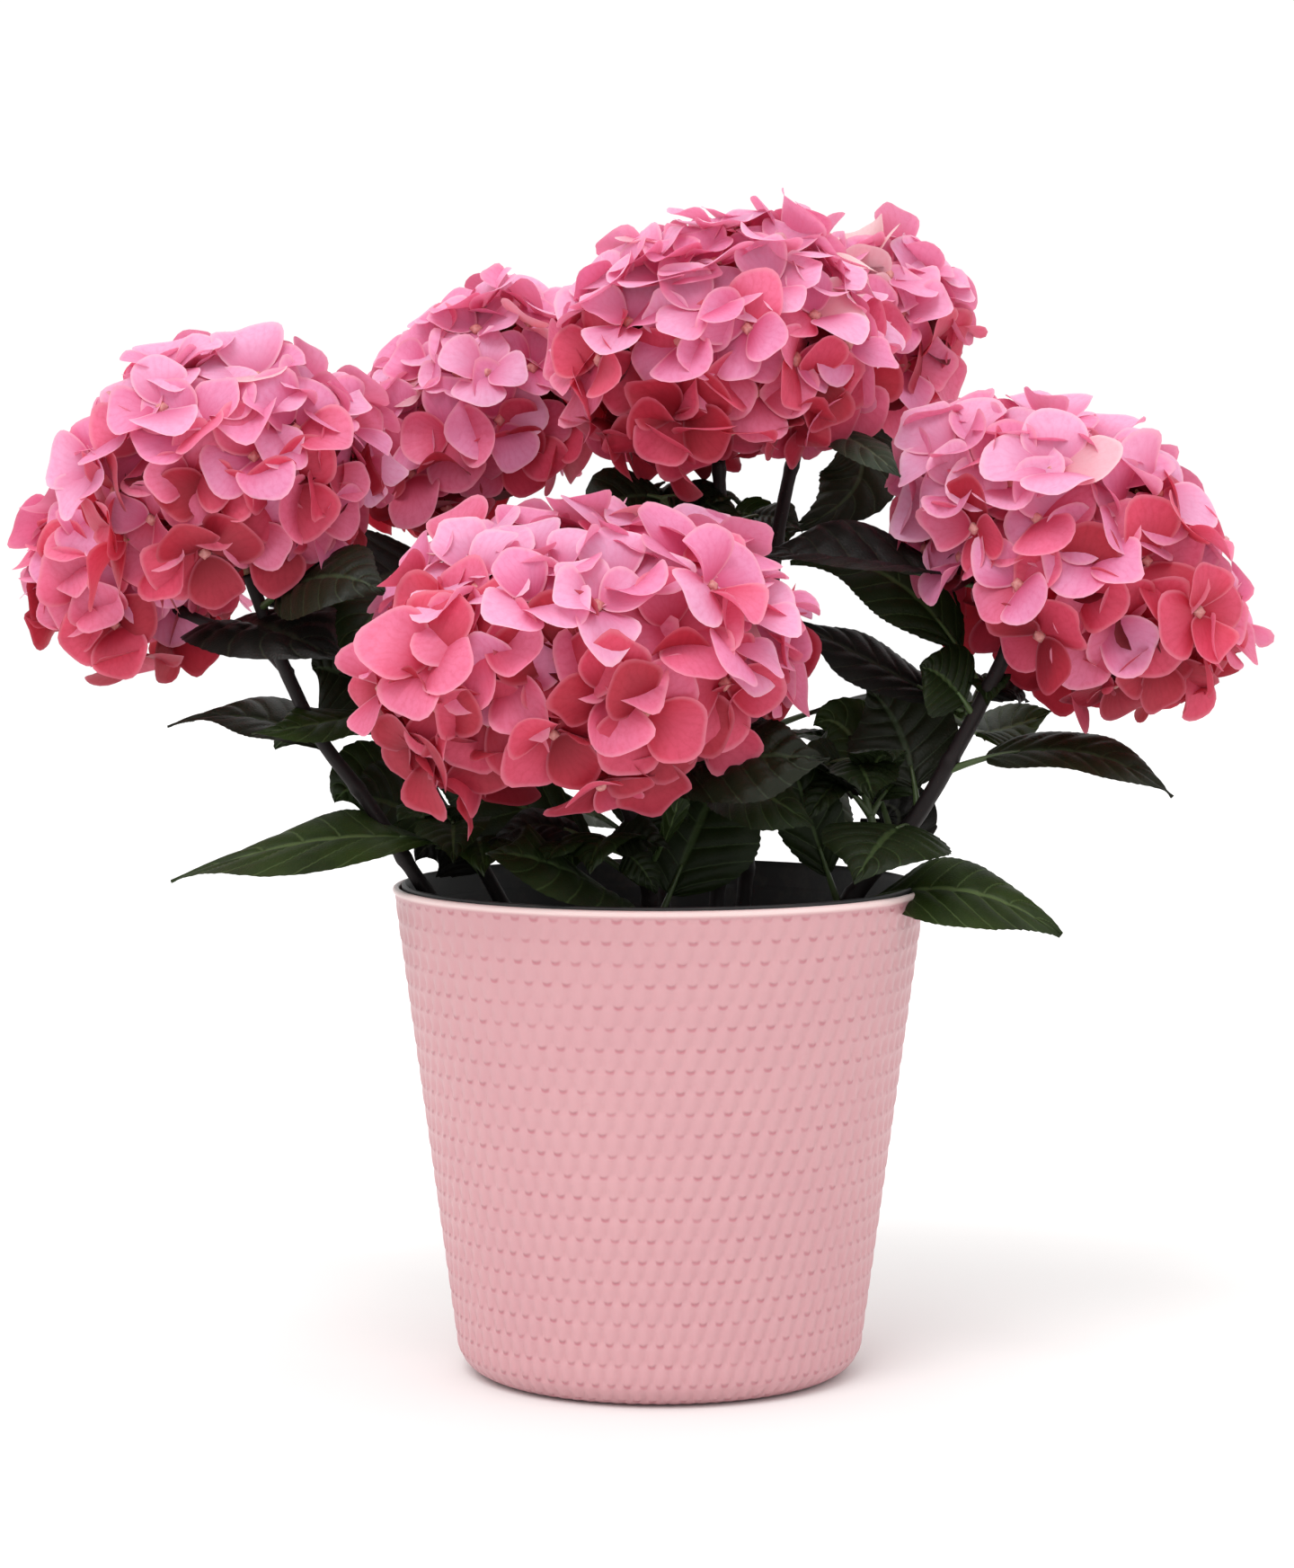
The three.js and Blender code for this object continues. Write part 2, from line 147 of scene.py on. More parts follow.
def planter_wall():
    """The planter, with the count of pillows round and rows up at each point. The outer
    profile is walked by its own length, from the base's edge through a quarter turn of the
    corner and up the straight wall. A pillow stands out along the profile's normal by
    relief * (0.36 - (1 - g) ** 1.7), where g = (1 + cos(2 pi x) cos(pi y)) / 2; x counts pillows
    round the wall and y rows up it, and y is bent within each row so that a pillow's lower
    edge is steeper than its upper one. The lip is a rounded bead."""
    slope = (PLANTER_RIM - PLANTER_FOOT) / PLANTER_HEIGHT
    lean = math.atan(slope)
    turn = math.pi / 2 - lean
    arc = PLANTER_CORNER * turn
    straight = (PLANTER_HEIGHT - LIP_HEIGHT - PLANTER_CORNER * (1 - math.cos(turn))) / math.cos(lean)
    s = arc + straight - PILLOW_ROW / 7 * np.arange(int((arc + straight) / PILLOW_ROW * 7) + 1)[::-1]
    s[0] = 0
    bend = np.clip(s / PLANTER_CORNER, 0, turn)
    up = np.clip(s - arc, 0, None)
    r = PLANTER_CORNER * np.sin(bend) + up * math.sin(lean)
    r = r + PLANTER_RIM - LIP_HEIGHT * slope - 0.8 - r[-1]
    z = PLANTER_CORNER * (1 - np.cos(bend)) + up * math.cos(lean)
    normal_r, normal_z = np.sin(bend), -np.cos(bend)

    columns = PILLOWS_ROUND * 6
    x = PILLOWS_ROUND * np.arange(columns) / columns
    y = (s - s[-1]) / PILLOW_ROW - 0.2
    wave = np.cos(2 * np.pi * x)[None] * np.cos(np.pi * y + 0.47 * np.cos(np.pi * y) ** 2)[:, None]
    ease = np.clip(s / 9, 0, 1) * np.clip((s[-1] - s) / 3.0, 0, 1)
    pillow = PILLOW_RELIEF * (0.36 - (1 - (1 + wave) / 2) ** 1.7) * ease[:, None]
    outer_r = r[:, None] + normal_r[:, None] * pillow
    outer_z = z[:, None] + normal_z[:, None] * np.minimum(pillow, 0)

    bead = np.radians(np.linspace(-50, 200, 11))
    inside_r, inside_z = np.array(PLANTER_INSIDE).T
    lip_r = np.concatenate([LIP_MIDDLE + LIP_BEAD * np.cos(bead), inside_r])
    lip_z = np.concatenate([PLANTER_HEIGHT - LIP_BEAD + LIP_BEAD * np.sin(bead), inside_z])
    radius = np.concatenate([np.full((1, columns), 30.0), outer_r, lip_r[:, None] + np.zeros((1, columns))])
    height = np.concatenate([np.zeros((1, columns)), outer_z, lip_z[:, None] + np.zeros((1, columns))])
    rows = np.concatenate([y[:1], y, np.full(len(lip_r), y[-1])])
    lattice = np.stack([np.broadcast_to(x, radius.shape), np.broadcast_to(rows[:, None], radius.shape)], -1)
    points, triangles = turned_body(radius, np.maximum(height, 0))
    return points, triangles, np.concatenate([lattice.reshape(-1, 2), [[0, y[0]], [0, y[-1]]]])


# Moulded polypropylene: satin and slightly waxy. Each pillow has a short sunken dash under its lower edge,
# 4 mm wide and 1 mm high, where the mould's punch ended. The dash is pressed in as a bump, and its darker
# colour is painted shade under the pillow, stronger in some dashes than in others.
planter_plastic, tree, place = new_material("moulded_polypropylene_pink")
uv = add(tree, "UVMap", uv_map="Surface")
count = add(tree, "SeparateXYZ", {0: uv})
row = add(tree, "Math", {0: count.outputs[1]}, operation="ROUND")
odd = add(tree, "Math", {0: row, 1: 1.0}, operation="PINGPONG")
moved = add(tree, "Math", {0: odd, 1: 0.5, 2: count}, operation="MULTIPLY_ADD")
across = add(tree, "Math", {0: moved, 1: 0.5}, operation="PINGPONG")
above = add(tree, "Math", {0: count.outputs[1], 1: row}, operation="SUBTRACT")
smile = add(tree, "Math", {0: across, 1: across}, operation="MULTIPLY")
from_dash = add(tree, "Math", {0: smile, 1: -1.4, 2: above}, operation="MULTIPLY_ADD")
lowered = add(tree, "Math", {0: from_dash, 1: 0.40}, operation="ADD")
off = add(tree, "Math", {0: lowered}, operation="ABSOLUTE")
thin = add(tree, "MapRange", {"Value": off, "From Min": 0.15, "From Max": 0.0},
           interpolation_type="SMOOTHSTEP")
short = add(tree, "MapRange", {"Value": across, "From Min": 0.32, "From Max": 0.12},
            interpolation_type="SMOOTHSTEP")
dash = add(tree, "Math", {0: thin, 1: short}, operation="MULTIPLY")
dash_strength_noise = add(tree, "TexNoise", {"Vector": place, "Scale": 70.0, "Detail": 3.0})
depth = add(tree, "MapRange", {"Value": dash_strength_noise, "From Min": 0.38, "From Max": 0.6, "To Min": 0.5})
dashes = add(tree, "Math", {0: dash, 1: depth}, operation="MULTIPLY")
cloud = add(tree, "TexNoise", {"Vector": place, "Scale": 24.0, "Detail": 4.0, "Roughness": 0.6})
tint = add(tree, "Mix", {"Factor": cloud, 6: "CB9A9E", 7: "C59298"}, data_type="RGBA")
height = add(tree, "SeparateXYZ", {0: place})
# Painted highlight: the top of the lip, from 216.5 mm up, is lightened to E6CCCA as a band of light along
# the rim.
lip = add(tree, "MapRange", {"Value": height.outputs[2], "From Min": 0.2165, "From Max": 0.2180})
# Painted shade: each dash is darkened towards BA7780, standing in for the shadow under the pillow above it.
painted_dash_shade = add(tree, "Mix", {"Factor": dashes, 6: tint, 7: "BA7780"}, data_type="RGBA")
paler = add(tree, "Mix", {"Factor": lip, 6: painted_dash_shade, 7: "E6CCCA"}, data_type="RGBA")
grain = add(tree, "TexNoise", {"Vector": place, "Scale": 1400.0, "Detail": 2.0})
mould = add(tree, "Bump", {"Height": grain, "Strength": 0.2, "Distance": 0.0002})
pressed = add(tree, "Bump", {"Height": dashes, "Normal": mould, "Strength": 0.7, "Distance": 0.0006},
              invert=True)
gloss = add(tree, "MapRange", {"Value": cloud, "To Min": 0.32, "To Max": 0.46})
shader = add(tree, "BsdfPrincipled", {
    "Base Color": paler, "Roughness": gloss, "Normal": pressed,
    "IOR": 1.49, "Subsurface Weight": 0.08, "Subsurface Radius": (0.003, 0.0012, 0.0012)})
add(tree, "OutputMaterial", {"Surface": shader})

points, triangles, lattice = planter_wall()
make_piece("planter_shell", points, triangles, [planter_plastic], ["planter"], uv=lattice)

# ---------------------------------------------------------------- grower's pot
# The shrub still stands in the thin black pot that it was grown in, which drops into the
# planter and shows only as a dull rim just above the planter's lip.

GROWER_PROFILE = [  # radius and height, from the base up the outside, over the rim and down inside
    (30.0, 3.5), (72.0, 3.5), (80.0, 5.2), (84.6, 12.5), (98.0, 110.0), (111.9, 209.4), (112.6, 210.6),
    (113.9, 211.2), (115.3, 216.0), (115.9, 219.4), (115.9, 220.6), (115.4, 221.2), (114.6, 221.2),
    (114.1, 220.7), (113.6, 218.0), (112.4, 211.0), (111.0, 205.0), (96.6, 104.0), (84.0, 15.0),
    (79.0, 7.0), (70.0, 5.2), (30.0, 5.0)]

# Blow-moulded polypropylene: black and half matt, with a little pale dust on it.
grower_plastic, tree, place = new_material("blown_polypropylene_black")
dust = add(tree, "TexNoise", {"Vector": place, "Scale": 60.0, "Detail": 6.0, "Roughness": 0.7})
dusty = add(tree, "MapRange", {"Value": dust, "From Min": 0.5, "From Max": 0.8})
tint = add(tree, "Mix", {"Factor": dusty, 6: "121214", 7: "3A342E"}, data_type="RGBA")
shader = add(tree, "BsdfPrincipled", {"Base Color": tint, "Roughness": 0.52, "IOR": 1.49})
add(tree, "OutputMaterial", {"Surface": shader})

profile = np.array(GROWER_PROFILE)
columns = 144
waver = 1 + 0.0012 * np.sin(5 * 2 * np.pi * np.arange(columns) / columns)
points, triangles = turned_body(profile[:, :1] * waver[None], profile[:, 1:] * np.ones((1, columns)))
make_piece("grower_pot_wall", points, triangles, [grower_plastic], ["grower_pot"])

# ---------------------------------------------------------------- compost
# Damp bark and peat compost fills the grower's pot to some 30 mm below its rim. Its surface
# is crumbly, heaped a little round the stems, with loose chips of bark on it.

SOIL_Z, SOIL_R = 190.0, 108.6  # mm, the level of its surface and the radius there


def waves_2d(x, y, seed, size, layers):
    """A crumbly height field between about -1 and 1: layers of three crossed sine waves,
    each turned at random, with half the size and 0.6 of the height of the one before."""
    dice = np.random.default_rng(seed)
    total, height = np.zeros_like(x), 1.0
    for _ in range(layers):
        for _ in range(3):
            turn, shift = dice.uniform(0, 2 * np.pi, 2)
            along = x * math.cos(turn) + y * math.sin(turn)
            bent = 2 * np.pi * along / size + shift + 1.3 * np.sin(along / size * 2.1)
            total = total + height / 3 * np.sin(bent)
        size, height = size * 0.52, height * 0.6
    return total


def compost_body():
    """A plug of compost: a plain base and side, and a top of 62 rings whose height is a
    coarse and a fine crumbly field plus a low mound of 3 exp(-(r / 60)^2) mm."""
    columns = 160
    angle = 2 * np.pi * np.arange(columns) / columns
    side_r, side_z = [40, 78, 84, 96], [5.6, 5.6, 20, 100]
    top_rings, top = 62, slice(len(side_r), None)
    r = np.concatenate([side_r, np.linspace(SOIL_R, 1.5, top_rings)])
    z = np.concatenate([side_z, np.full(top_rings, SOIL_Z)])
    radius = r[:, None] * np.ones((1, columns))
    height = z[:, None] * np.ones((1, columns))
    x, y = radius * np.cos(angle), radius * np.sin(angle)
    crumbs = (1.6 * waves_2d(x, y, 5, 26, 3) + 1.1 * np.abs(waves_2d(x, y, 6, 7, 3))
              + 3 * np.exp(-(radius / 60) ** 2))
    height[top] += (crumbs - 2.6)[top] * np.clip((SOIL_R - r[top]) / 4 + 0.3, 0, 1)[:, None]
    return turned_body(radius, height)


# Bark compost: near black where damp, with brown fibres a few millimetres long.
compost_crumb, tree, place = new_material("damp_bark_compost")
crumb = add(tree, "TexNoise", {"Vector": place, "Scale": 260.0, "Detail": 6.0, "Roughness": 0.7})
tint = add(tree, "ValToRGB", {"Fac": crumb})
for stop, position, colour in zip(tint.color_ramp.elements, (0.36, 0.72), ("120D0B", "4A382A")):
    stop.position, stop.color = position, linear(colour)
relief = add(tree, "Bump", {"Height": crumb, "Strength": 0.8, "Distance": 0.002})
shader = add(tree, "BsdfPrincipled", {"Base Color": tint, "Roughness": 0.9, "Normal": relief})
add(tree, "OutputMaterial", {"Surface": shader})

points, triangles = compost_body()
make_piece("compost_plug", points, triangles, [compost_crumb], ["compost"])


def repeated(triangles, points_each, count):
    """The triangles of one shape repeated for count shapes of points_each points."""
    return (triangles[None] + points_each * np.arange(count)[:, None, None]).reshape(-1, 3)


def bark_chips(count):
    """Loose chips: each is a box of eight corners, pulled about at random, turned at random
    and laid on the compost."""
    dice = np.random.default_rng(17)
    corner = np.array([[i, j, k] for k in (-1, 1) for j in (-1, 1) for i in (-1, 1)], float)
    shape = corner * (1 + 0.3 * dice.uniform(-1, 1, (count, 8, 3)))
    half = [dice.uniform(*span, count) for span in ((1.5, 5.5), (1, 3), (0.4, 1.1))]  # mm
    shape = shape * np.stack(half, 1)[:, None]
    turn, tip = dice.uniform(0, 2 * np.pi, count), dice.uniform(-0.4, 0.4, count)
    x = shape[..., 0] * np.cos(tip)[:, None] - shape[..., 2] * np.sin(tip)[:, None]
    z = shape[..., 0] * np.sin(tip)[:, None] + shape[..., 2] * np.cos(tip)[:, None]
    y = shape[..., 1]
    r, way = (SOIL_R - 8) * np.sqrt(dice.uniform(0, 1, count)), dice.uniform(0, 2 * np.pi, count)
    points = np.stack([
        x * np.cos(turn)[:, None] - y * np.sin(turn)[:, None] + (r * np.cos(way))[:, None],
        x * np.sin(turn)[:, None] + y * np.cos(turn)[:, None] + (r * np.sin(way))[:, None],
        z + SOIL_Z + 0.2 + dice.uniform(0, 1.2, count)[:, None]], -1)
    faces = np.array([[0, 2, 3], [0, 3, 1], [4, 5, 7], [4, 7, 6], [0, 1, 5], [0, 5, 4],
                      [2, 6, 7], [2, 7, 3], [0, 4, 6], [0, 6, 2], [1, 3, 7], [1, 7, 5]])
    return points.reshape(-1, 3), repeated(faces, 8, count)


def mottled_material(name, scale, detail, tone, other_tone, roughness):
    """A plain surface whose colour wanders between two tones, in patches of about 1 / scale
    metres."""
    material, tree, place = new_material(name)
    cloud = add(tree, "TexNoise", {"Vector": place, "Scale": scale, "Detail": detail})
    tint = add(tree, "Mix", {"Factor": cloud, 6: tone, 7: other_tone}, data_type="RGBA")
    shader = add(tree, "BsdfPrincipled", {"Base Color": tint, "Roughness": roughness})
    add(tree, "OutputMaterial", {"Surface": shader})
    return material


# Pine bark: dry, matt and brown, with darker fibres.
chip_bark = mottled_material("dry_bark_chip", 120.0, 3.0, "2A1D15", "6B5038", 0.85)
points, triangles = bark_chips(420)
make_piece("bark_chips", points, triangles, [chip_bark])

# ---------------------------------------------------------------- stems
# Seven woody stems rise from the compost, and a side shoot leaves the left one. The bark is
# smooth and dark purplish brown, swollen at the nodes where pairs of leaves stand.

STEMS = {  # middle line from the compost into the head, and the radius at both ends
    "stem_left": ([(-70, -10, 178), (-87, -12, 195), (-106, -15, 221), (-131, -18, 260), (-152, -20, 289),
                   (-166, -26, 319), (-181, -30, 360)], 3.4, 2.9),
    "stem_back_left": ([(-46, 8, 178), (-62, 11, 196), (-84, 11, 233), (-103, 15, 261), (-112, 30, 300),
                        (-92, 58, 380)], 3.4, 2.6),
    "stem_front": ([(-2, -18, 178), (-3, -25, 200), (-10, -46, 245), (-24, -76, 285)], 3.6, 3.0),
    "stem_centre": ([(24, 1, 178), (26, 5, 213), (30, 4, 300), (26, -16, 410)], 3.6, 2.8),
    "stem_back_right": ([(36, 30, 178), (42, 33, 250), (50, 32, 340), (55, 31, 384), (66, 50, 423),
                         (90, 86, 452)], 3.6, 2.8),
    "stem_right": ([(55, -3, 178), (69, -4, 193), (89, -5, 218), (118, -8, 256), (131, -10, 279),
                    (143, -12, 302), (157, -14, 335), (160, -18, 362)], 4.4, 3.0),
    "stem_back": ([(2, 24, 178), (2, 34, 205), (-2, 78, 255), (-6, 112, 300)], 3.6, 2.8),
    "shoot_far_left": ([(-164, -24, 316), (-182, 4, 330), (-208, 34, 337), (-240, 66, 350)], 2.8, 2.2),
}


def unit(v):
    """Each vector at length one."""
    return v / np.maximum(np.linalg.norm(v, axis=-1, keepdims=True), 1e-9)


def smooth_path(knots, count):
    """count points on a smooth curve through the knots: between two knots, the cubic with
    each knot's direction taken from its neighbours, walked at the chords' lengths."""
    knots = np.array(knots, float)
    length = np.concatenate([[0], np.cumsum(np.linalg.norm(np.diff(knots, axis=0), axis=1))])
    slope = np.gradient(knots, length, axis=0)
    s = np.linspace(0, length[-1], count)
    i = np.clip(np.searchsorted(length, s, side="right") - 1, 0, len(knots) - 2)
    span = (length[i + 1] - length[i])[:, None]
    t = (s - length[i])[:, None] / span
    return ((2 * t ** 3 - 3 * t ** 2 + 1) * knots[i] + (t ** 3 - 2 * t ** 2 + t) * span * slope[i]
            + (3 * t ** 2 - 2 * t ** 3) * knots[i + 1] + (t ** 3 - t ** 2) * span * slope[i + 1])


def tubes(paths, radius):
    """Round bodies along paths. paths is tubes by rows by 3, radius tubes by rows by sides.
    Each ring lies in the plane across the path, from one fixed direction square to the
    tube's chord, and each end is closed by a fan."""
    count, rows, _ = paths.shape
    sides = radius.shape[2]
    along = unit(np.gradient(paths, axis=1))
    chord = unit(paths[:, -1] - paths[:, 0])
    least = np.eye(3)[np.argmin(np.abs(chord), axis=1)]
    fixed = unit(np.cross(chord, least))[:, None]
    first = unit(np.cross(along, fixed))
    second = np.cross(along, first)
    angle = 2 * np.pi * np.arange(sides) / sides
    ring = first[:, :, None] * np.cos(angle)[:, None] + second[:, :, None] * np.sin(angle)[:, None]
    wall = (paths[:, :, None] + ring * radius[..., None]).reshape(count, -1, 3)
    points = np.concatenate([wall, paths[:, :1], paths[:, -1:]], 1)
    return points.reshape(-1, 3), repeated(closed_rings(rows, sides), rows * sides + 2, count)


STEM_ROWS, STEM_SIDES = 130, 20
paths, radii = [], []
for number, (knots, foot, top) in enumerate(STEMS.values()):
    path = smooth_path(knots, STEM_ROWS)
    angle = 2 * np.pi * np.arange(STEM_SIDES) / STEM_SIDES
    along = np.linspace(0, 1, STEM_ROWS)[:, None]
    distance = np.linalg.norm(path - path[0], axis=1)[:, None]
    node = sum(np.exp(-((distance - at) / 2.6) ** 2) for at in 34 + 37 * np.arange(6) + 3 * number)
    ridges = (0.035 * np.sin(5 * angle + 2 * number + 0.02 * distance)
              + 0.02 * np.sin(11 * angle - 0.3 * distance))
    fissures = 0.018 * np.sin(3 * angle + 1.1 * distance) * np.sin(0.7 * distance + number)
    paths.append(path)
    radii.append((foot + (top - foot) * along) * (1 + 0.2 * node + ridges + fissures))
stem_paths = dict(zip(STEMS, paths))

# Hydrangea bark: dark, purplish brown and satin on this year's wood, with small pale pores
# about a millimetre long.
stem_bark, tree, place = new_material("young_hydrangea_bark")
cloud = add(tree, "TexNoise", {"Vector": place, "Scale": 45.0, "Detail": 4.0})
bark = add(tree, "Mix", {"Factor": cloud, 6: "0F090A", 7: "1C1112"}, data_type="RGBA")
pores = add(tree, "TexVoronoi", {"Vector": place, "Scale": 420.0})
pore = add(tree, "MapRange", {"Value": pores, "From Min": 0.16, "From Max": 0.08})
tint = add(tree, "Mix", {"Factor": pore, 6: bark, 7: "33261F"}, data_type="RGBA")
relief = add(tree, "Bump", {"Height": pore, "Strength": 0.5, "Distance": 0.0004})
shader = add(tree, "BsdfPrincipled", {
    "Base Color": tint, "Roughness": 0.6, "Specular IOR Level": 0.3, "Normal": relief})
add(tree, "OutputMaterial", {"Surface": shader})

points, triangles = tubes(np.array(paths), np.array(radii))
make_piece("stem_bark", points, triangles, [stem_bark], list(STEMS))

# ---------------------------------------------------------------- flower heads: branches
# Inside each round head the stem forks into some fourteen rays, and each ray again into the
# thin stalks that carry one floret each. They are green to dark red and show in the gaps.

# Middle, half sizes, lean about Y in degrees (lowers the right side), florets, seed and stem.
HEADS = {
    "front": ((-33, -95, 328), (103, 84, 67), -6, 92, 1, "stem_front"),
    "left": ((-187, -35, 405), (71, 66, 63), 0, 62, 2, "stem_left"),
    "far_left": ((-247, 74, 362), (56, 54, 55), 0, 44, 3, "shoot_far_left"),
    "back_left": ((-86, 62, 432), (68, 58, 55), -38, 54, 4, "stem_back_left"),
    "top": ((25, -20, 461), (76, 70, 65), 0, 68, 5, "stem_centre"),
    "top_right": ((101, 94, 473), (48, 50, 54), 0, 40, 6, "stem_back_right"),
    "right": ((183, -15, 367), (90, 76, 65), 38, 80, 7, "stem_right"),
    "back": ((-6, 130, 338), (68, 60, 56), 0, 54, 8, "stem_back"),
}
# The uneven outline seen from the front, every 30 degrees from the right anticlockwise.
HEAD_OUTLINES = {
    "front": (0.95, 0.98, 0.88, 0.92, 1.0, 0.94, 0.92, 0.95, 0.97, 1.22, 0.88, 0.88),
    "left": (1.0, 0.95, 0.90, 0.93, 1.0, 0.93, 1.0, 1.0, 1.0, 0.95, 0.85, 0.82),
    "far_left": (1.0, 1.0, 1.0, 0.98, 0.92, 0.87, 0.83, 0.92, 1.0, 1.22, 0.98, 0.95),
    "back_left": (1.0, 1.20, 1.05, 0.84, 0.82, 0.96, 1.0, 1.0, 1.0, 1.0, 1.0, 1.0),
    "top": (1.0, 0.98, 1.0, 0.99, 0.82, 0.90, 1.0, 1.0, 1.06, 1.12, 0.88, 0.95),
    "top_right": (0.88, 0.84, 0.84, 0.92, 1.04, 1.0, 1.0, 1.0, 1.0, 0.90, 0.80, 0.80),
    "right": (1.08, 1.0, 0.92, 0.93, 0.95, 0.90, 1.08, 0.96, 1.10, 0.98, 0.88, 0.90),
    "back": (1.0,) * 12,
}
HANGING_FLORETS = {  # ways out from the middle of those that hang out of the round
    "front": [(0.02, -0.5, -0.86), (0.24, -0.55, -0.80), (-0.80, -0.4, -0.5)],
    "top": [(-0.33, -0.66, -0.67), (0.08, -0.71, -0.70), (-0.66, -0.30, -0.70)],
    "right": [(0.45, -0.2, -0.85)],
    "far_left": [(0.1, -0.5, -0.86)],
}
FLORET_SIZES = {"front": 26.0, "right": 25.0, "top": 25.0, "left": 24.5}  # mm, a sepal's length
OTHER_FLORET_SIZE = 23.5
FLORET_INSET = 14.0  # mm from a head's outline in to the middles of its outer florets


def spread_directions(count, seed):
    """count directions spread evenly over a ball, without its lowest part: the golden spiral
    from the pole down to z = -0.8, each moved at random by about a sixth of their spacing."""
    dice = np.random.default_rng(seed)
    i = np.arange(count)
    z = 1 - (i + 0.5) / count * 1.80
    turn = i * math.pi * (3 - math.sqrt(5)) + seed
    flat = np.sqrt(1 - z ** 2)
    way = np.stack([flat * np.cos(turn), flat * np.sin(turn), z], 1)
    return unit(way + dice.normal(0, 0.2 * math.sqrt(7 / count), way.shape))


def on_head(way, at, half, lean, depth, outline):
    """Points of an uneven, leaned ball for given directions at a share of its radius, and
    the outward normals there. The radius follows the outline's shares round the front view,
    the less the more a direction points to the front or back: 1 + (share - 1) (1 - y^2)."""
    a = math.radians(lean)
    round_front = np.degrees(np.arctan2(way[:, 2], way[:, 0]))
    share = np.interp(round_front, 30 * np.arange(12), outline, period=360)
    depth = depth * (1 + (share - 1) * (1 - way[:, 1] ** 2))[:, None]
    turn = np.array([[math.cos(a), 0, math.sin(a)], [0, 1, 0], [-math.sin(a), 0, math.cos(a)]])
    points = (way * half * depth) @ turn.T + at
    normals = unit(unit(way / half) @ turn.T)
    return points, normals


def tapered_tubes(paths, foot, top, sides):
    """Round bodies along paths whose radius goes evenly from the foot's to the top's."""
    count, rows, _ = paths.shape
    radius = np.broadcast_to(np.linspace(foot, top, rows)[None, :, None], (count, rows, sides))
    return tubes(paths, radius)


def joined(first, second):
    """Two meshes, each its points and its triangles, as one."""
    return np.concatenate([first[0], second[0]]), np.concatenate([first[1], second[1] + len(first[0])])


florets, ray_paths, stalk_paths = [], [], []
for number, (name, (at, half, lean, count, seed, stem)) in enumerate(HEADS.items()):
    dice = np.random.default_rng(100 + seed)
    hidden = count // 2  # florets that sit deeper, in the shade of the outer ones
    hanging = np.array(HANGING_FLORETS.get(name, []), float).reshape(-1, 3)
    way = np.concatenate([spread_directions(count, seed), spread_directions(hidden, seed + 50),
                          unit(hanging)])
    depth = np.concatenate([dice.uniform(0.84, 1.07, count), dice.uniform(0.62, 0.76, hidden),
                            np.ones(len(hanging))])
    points, normals = on_head(way, np.array(at), np.array(half) - FLORET_INSET, lean, depth[:, None],
                              HEAD_OUTLINES[name])
    axis = unit(normals + np.array([0, -0.04, 0.26]) + dice.normal(0, 0.24, points.shape))
    high = (points[:, 2] - at[2]) / half[2]
    inner = depth < 0.8
    size = (FLORET_SIZES.get(name, OTHER_FLORET_SIZE) * dice.uniform(0.84, 1.1, len(way))
            * np.where(inner, 0.85, 1.0))
    # How much light a floret has, which picks its sepals' tone, so light and shade are painted into their
    # colour: more near the top and where it faces up, less deeper in and under the heads above.
    light = (0.42 * high + 0.40 * axis[:, 2] - 1.3 * inner - 1.5 * np.clip(0.93 - depth, 0, 0.1)
             - (0.35 if name == "front" else 0.1) * np.clip(-high, 0, 1)  # under the heads above
             + 0.0015 * (at[2] - 380)  # the higher a head, the more light it has
             + dice.normal(0, 0.16, len(way)))
    florets.append((points, axis, np.full(len(way), number), size, light, inner))

    stem_end = stem_paths[stem][-1]
    fork = stem_end * 0.45 + np.array(at) * 0.55 - np.array([0, 0, 0.18 * half[2]])
    hubs, _ = on_head(spread_directions(14, seed + 20), np.array(at), np.array(half), lean, 0.52,
                      HEAD_OUTLINES[name])
    t = np.linspace(0, 1, 9)[None, :, None]
    bow = np.array([0, 0, 8.0]) * np.sin(np.pi * t)
    ray_paths.append(np.concatenate([
        fork + (hubs[:, None] - fork) * t + bow,
        stem_end + (fork - stem_end)[None, None] * t]))
    nearest = np.argmin(np.linalg.norm(points[:, None] - hubs[None], axis=2), axis=1)
    start, end = hubs[nearest][:, None], points[:, None]
    t = np.linspace(0, 1, 7)[None, :, None]
    bend = end - axis[:, None] * 0.4 * np.linalg.norm(end - start, axis=2, keepdims=True)
    stalk_paths.append((1 - t) ** 2 * start + 2 * t * (1 - t) * bend + t ** 2 * end)
floret_at, floret_axis, floret_head, floret_size, floret_light, floret_inner = (
    np.concatenate(part) for part in zip(*florets))

# Flower stalks: soft green wood flushed with dark red.
stalk_skin, tree, place = new_material("flushed_flower_stalk")
flush = add(tree, "TexNoise", {"Vector": place, "Scale": 30.0, "Detail": 2.0})
tint = add(tree, "ValToRGB", {"Fac": flush})
for stop, position, colour in zip(tint.color_ramp.elements, (0.40, 0.64), ("7A2434", "8C9A5A")):
    stop.position, stop.color = position, linear(colour)
shader = add(tree, "BsdfPrincipled", {"Base Color": tint, "Roughness": 0.5})
add(tree, "OutputMaterial", {"Surface": shader})

points, triangles = joined(tapered_tubes(np.concatenate(ray_paths), 2.2, 1.2, 7),
                           tapered_tubes(np.concatenate(stalk_paths), 0.8, 0.55, 5))
make_piece("flower_stalks", points, triangles, [stalk_skin])

# ---------------------------------------------------------------- flower heads: sepals
# What looks like petals are the florets' sepals, four to a floret in two crossed pairs. Each
# is thin, soft and matt, almost round, cupped towards the middle and waved at its edge.

SEPAL_ROWS, SEPAL_COLUMNS = 8, 8
LIGHT_STEPS = [-0.85, -0.48, -0.2, 0.08, 0.38]  # a floret's light at the steps between the first six tones
DEEP_ROSE, SHADE_RED, FADED = 4, 5, [6, 7]  # places in the list of tones
